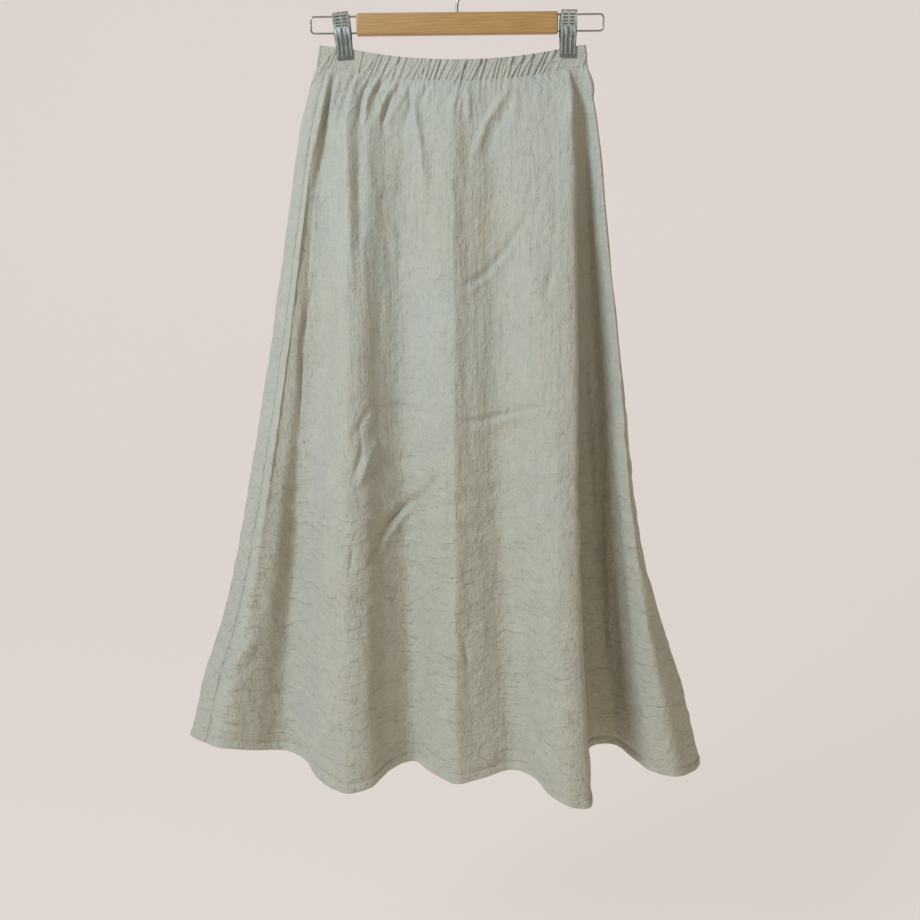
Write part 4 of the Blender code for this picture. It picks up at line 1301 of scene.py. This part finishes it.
class SKIRT_OT_clips(bpy.types.Operator):
    """Press the ribbed and dimpled clip plates and wind their springs"""

    bl_idname = "skirt.clips"
    bl_label = "Spring Clips"

    def execute(self, context):
        hanger = context.scene.skirt_hanger
        # The pressed plates get painted shade in their hollows.
        plated = metal_finish("pressed_plate", hanger.clip_colour, 0.26, (1500.0, 1500.0, 160.0), 0.9,
                              hollow_shade=0.70)
        sprung = metal_finish("spring_wire", hanger.spring_colour, 0.38, (900.0, 900.0, 900.0), 0.8)
        pattern = self.plate()
        coil = self.coil()
        for label, across, swing in CLIPS:
            for face, half_turn in (("front", 0.0), ("back", math.pi)):
                piece = copy_of(pattern, f"clip_plate_{label}_{face}")
                piece.rotation_euler = (0.0, 0.0, half_turn)
                settle(piece)
                self.hang(piece, across, swing)
                dress(piece, plated, f"clip_{label}_{face}_jaw", slot="clip_steel", smooth_angle=32)
            spring = copy_of(coil, f"clip_coil_{label}")
            self.hang(spring, across, swing)
            dress(spring, sprung, f"clip_{label}_spring", slot="spring_steel", smooth_angle=50)
        for tool in (pattern, coil):
            bpy.data.objects.remove(tool, do_unlink=True)
        return {"FINISHED"}

    def hang(self, piece, across, swing):
        piece.rotation_euler = (0.0, math.radians(-swing), 0.0)
        piece.location = (across, 0.0, CLIP_PIVOT)
        settle(piece)

    def plate(self):
        """A front plate round the pivot: bent, dimpled above and ribbed below."""
        heights = [height - CLIP_PIVOT for height, _away in CLIP_PROFILE]
        deselect_everything()
        middle = (0.0, -CLIP_PLATE / 2, (heights[0] + heights[-1]) / 2)
        bpy.ops.mesh.primitive_cube_add(size=1.0, location=middle)
        plate = added("clip_pattern")
        plate.scale = (CLIP_WIDTH, CLIP_PLATE, heights[-1] - heights[0])
        settle(plate)
        bpy.ops.object.mode_set(mode="EDIT")
        slice_through(2, heights[1:-1])
        for height, (_level, away) in zip(heights, CLIP_PROFILE):
            pick(plate, "VERT", lambda spot, _normal, level=height: abs(spot.z - level) < 0.0002)
            bpy.ops.transform.translate(value=(0.0, -away, 0.0))
        cuts_across = sorted({edge for pair in DIMPLE_COLUMNS + RIB_COLUMNS for edge in pair})
        cuts_up = sorted({edge - CLIP_PIVOT for pair in DIMPLE_ROWS + (RIB_ROW,) for edge in pair})
        slice_through(0, cuts_across)
        slice_through(2, cuts_up)

        def inside(value, spans, shift=0.0):
            return any(low - shift < value < high - shift for low, high in spans)

        pick(plate, "FACE", lambda spot, normal: normal.y < -0.5 and inside(spot.x, DIMPLE_COLUMNS)
             and inside(spot.z, DIMPLE_ROWS, CLIP_PIVOT))
        bpy.ops.mesh.inset(thickness=PRESSED_SLOPE, depth=-DIMPLE_DEPTH, use_individual=False)
        pick(plate, "FACE", lambda spot, normal: normal.y < -0.5 and inside(spot.x, RIB_COLUMNS)
             and inside(spot.z, (RIB_ROW,), CLIP_PIVOT))
        bpy.ops.mesh.inset(thickness=PRESSED_SLOPE, depth=RIB_HEIGHT, use_individual=False)
        for side in (-1.0, 1.0):
            pick(plate, "FACE", lambda spot, normal, way=side: normal.x * way > 0.8
                 and inside(spot.z, (FLANGE_ROW,), CLIP_PIVOT))
            bpy.ops.mesh.extrude_region_move(TRANSFORM_OT_translate={"value": (side * FLANGE_DEPTH, 0.0, 0.0)})
        bpy.ops.object.mode_set(mode="OBJECT")
        apply_modifier(plate, "BEVEL", width=PLATE_ROUND, segments=2, limit_method="ANGLE",
                       angle_limit=math.radians(40))
        self.mark_hollows(plate, heights)
        return plate

    def mark_hollows(self, plate, heights):
        """Store how far each point lies behind the tops of the ribs, from 0 to 1, which the plate's material
        turns into painted shade.
        """
        spots = np.empty(len(plate.data.vertices) * 3)
        plate.data.vertices.foreach_get("co", spots)
        spots = spots.reshape(-1, 3)
        skin = -np.interp(spots[:, 2], heights, [away for _height, away in CLIP_PROFILE]) - CLIP_PLATE
        ribbed = spots[:, 2] < RIB_ROW[1] - CLIP_PIVOT
        hollow = (spots[:, 1] - skin) / DIMPLE_DEPTH + np.where(ribbed, 0.9, 0.0)
        layer = plate.data.attributes.new("hollow", "FLOAT", "POINT")
        layer.data.foreach_set("value", np.clip(hollow, 0.0, 1.0).astype(np.float32))

    def coil(self):
        """A spring wound about the pivot's pin, with the pin through it."""
        deselect_everything()
        bpy.ops.mesh.primitive_circle_add(
            vertices=COIL_SIDES, radius=COIL_WIRE, fill_type="NOTHING",
            location=(-COIL_WIDTH / 2, COIL_RADIUS, 0.0))
        coil = added("coil_pattern")
        settle(coil)
        apply_modifier(coil, "SCREW", axis="X", screw_offset=COIL_WIDTH / COIL_TURNS, iterations=COIL_TURNS,
                       steps=COIL_STEPS, render_steps=COIL_STEPS, use_merge_vertices=False)
        deselect_everything()
        bpy.ops.mesh.primitive_cylinder_add(
            vertices=16, radius=PIN_RADIUS, depth=CLIP_WIDTH, rotation=(0.0, math.pi / 2, 0.0))
        pin = added("pin")
        settle(pin)
        choose(coil)
        pin.select_set(True)
        bpy.ops.object.join()
        bpy.ops.object.mode_set(mode="EDIT")
        bpy.ops.mesh.select_all(action="SELECT")
        bpy.ops.mesh.normals_make_consistent(inside=False)
        bpy.ops.object.mode_set(mode="OBJECT")
        return coil


# ---------------------------------------------------------------- studio

class SKIRT_OT_studio(bpy.types.Operator):
    """Set up the pale floor and backdrop, the lights and the camera"""

    bl_idname = "skirt.studio"
    bl_label = "Studio"

    def execute(self, context):
        studio = context.scene.skirt_studio
        context.scene.view_settings.view_transform = "Standard"
        self.backdrop(paper_finish("backdrop_paper", studio.wall_colour, BACKDROP_GLOW))
        self.room(studio.room_strength)
        self.light("window", studio.key_power, 1.0, (-1.9, -2.05, 1.3), (0.03, 0.0, -0.45), (0.70, 0.86, 1.0))
        self.light("bounce", studio.fill_power, 1.6, (0.7, -1.7, -1.4), (-0.1, 0.0, -0.8), (1.0, 0.84, 0.62))
        view = bpy.data.cameras.new("camera")
        view.lens = CAMERA_LENS
        view.clip_end = 30.0
        camera = bpy.data.objects.new("camera", view)
        camera.location = CAMERA_PLACE
        turn = Vector((1.0, 0.0, 0.0)), Vector((0.0, 0.0, 1.0))
        look = quaternion_about(turn[0], 90.0 - CAMERA_PITCH) @ quaternion_about(turn[1], CAMERA_ROLL)
        camera.rotation_euler = look.to_euler()
        context.collection.objects.link(camera)
        context.scene.camera = camera
        return {"FINISHED"}

    def backdrop(self, paper):
        """A floor that curves up into a wall, swept from one edge."""
        deselect_everything()
        bpy.ops.mesh.primitive_plane_add(size=1.0, location=(0.0, BACKDROP_FRONT, FLOOR_LEVEL))
        sweep = added("seamless_backdrop")
        sweep.scale = (BACKDROP_WIDTH, 0.01, 1.0)
        settle(sweep)
        bpy.ops.object.mode_set(mode="EDIT")
        pick(sweep, "VERT", lambda spot, _normal: spot.y > BACKDROP_FRONT)
        bpy.ops.mesh.select_mode(type="EDGE")
        run = BACKDROP_WALL - BACKDROP_CURVE - BACKDROP_FRONT
        bpy.ops.mesh.extrude_region_move(TRANSFORM_OT_translate={"value": (0.0, run, 0.0)})
        centre = (0.0, BACKDROP_WALL - BACKDROP_CURVE, FLOOR_LEVEL + BACKDROP_CURVE)
        bpy.ops.mesh.spin(steps=24, angle=-math.pi / 2, center=centre, axis=(1.0, 0.0, 0.0))
        bpy.ops.mesh.extrude_region_move(TRANSFORM_OT_translate={"value": (0.0, 0.0, BACKDROP_RISE)})
        bpy.ops.mesh.select_all(action="SELECT")
        bpy.ops.mesh.remove_doubles(threshold=0.0001)
        bpy.ops.mesh.normals_make_consistent(inside=True)
        bpy.ops.object.mode_set(mode="OBJECT")
        sweep.data.shade_smooth()
        sweep.data.materials.append(paper)

    def room(self, strength):
        world = bpy.data.worlds.new("room")
        world.use_nodes = True
        air = world.node_tree.nodes["Background"]
        air.inputs["Color"].default_value = (1.0, 0.92, 0.77, 1.0)
        air.inputs["Strength"].default_value = strength
        bpy.context.scene.world = world

    def light(self, name, power, size, place, target, colour):
        lamp = bpy.data.lights.new(name, "AREA")
        lamp.shape = "DISK"
        lamp.size = size
        lamp.energy = power
        lamp.color = colour
        thing = bpy.data.objects.new(name, lamp)
        thing.location = place
        aim = Vector(target) - Vector(place)
        thing.rotation_euler = aim.to_track_quat("-Z", "Y").to_euler()
        bpy.context.collection.objects.link(thing)


def quaternion_about(axis, degrees):
    return Quaternion(axis, math.radians(degrees))


# ---------------------------------------------------------------- panel and registration

STEPS = ("panels", "waistband", "stitches", "bar", "wires", "clips", "studio")
OPERATORS = (SKIRT_OT_panels, SKIRT_OT_waistband, SKIRT_OT_stitches, SKIRT_OT_bar, SKIRT_OT_wires,
             SKIRT_OT_clips, SKIRT_OT_studio)
SETTINGS = {"skirt_cloth": ClothSettings, "skirt_hanger": HangerSettings, "skirt_studio": StudioSettings}


class VIEW3D_PT_skirt(bpy.types.Panel):
    """The sizes, the colours and the steps that make the skirt"""

    bl_label = "Maxi Skirt"
    bl_space_type = "VIEW_3D"
    bl_region_type = "UI"
    bl_category = "Maxi Skirt"

    def draw(self, context):
        for name, group in SETTINGS.items():
            box = self.layout.box()
            for field in group.__annotations__:
                box.prop(getattr(context.scene, name), field)
        for operator in OPERATORS:
            self.layout.operator(operator.bl_idname)


def register():
    for kind in (*SETTINGS.values(), *OPERATORS, VIEW3D_PT_skirt):
        bpy.utils.register_class(kind)
    for name, group in SETTINGS.items():
        setattr(bpy.types.Scene, name, bpy.props.PointerProperty(type=group))


def unregister():
    for name in SETTINGS:
        delattr(bpy.types.Scene, name)
    for kind in (VIEW3D_PT_skirt, *reversed(OPERATORS), *SETTINGS.values()):
        bpy.utils.unregister_class(kind)


def main():
    register()
    for step in STEPS:
        getattr(bpy.ops.skirt, step)()


if __name__ == "__main__":
    main()
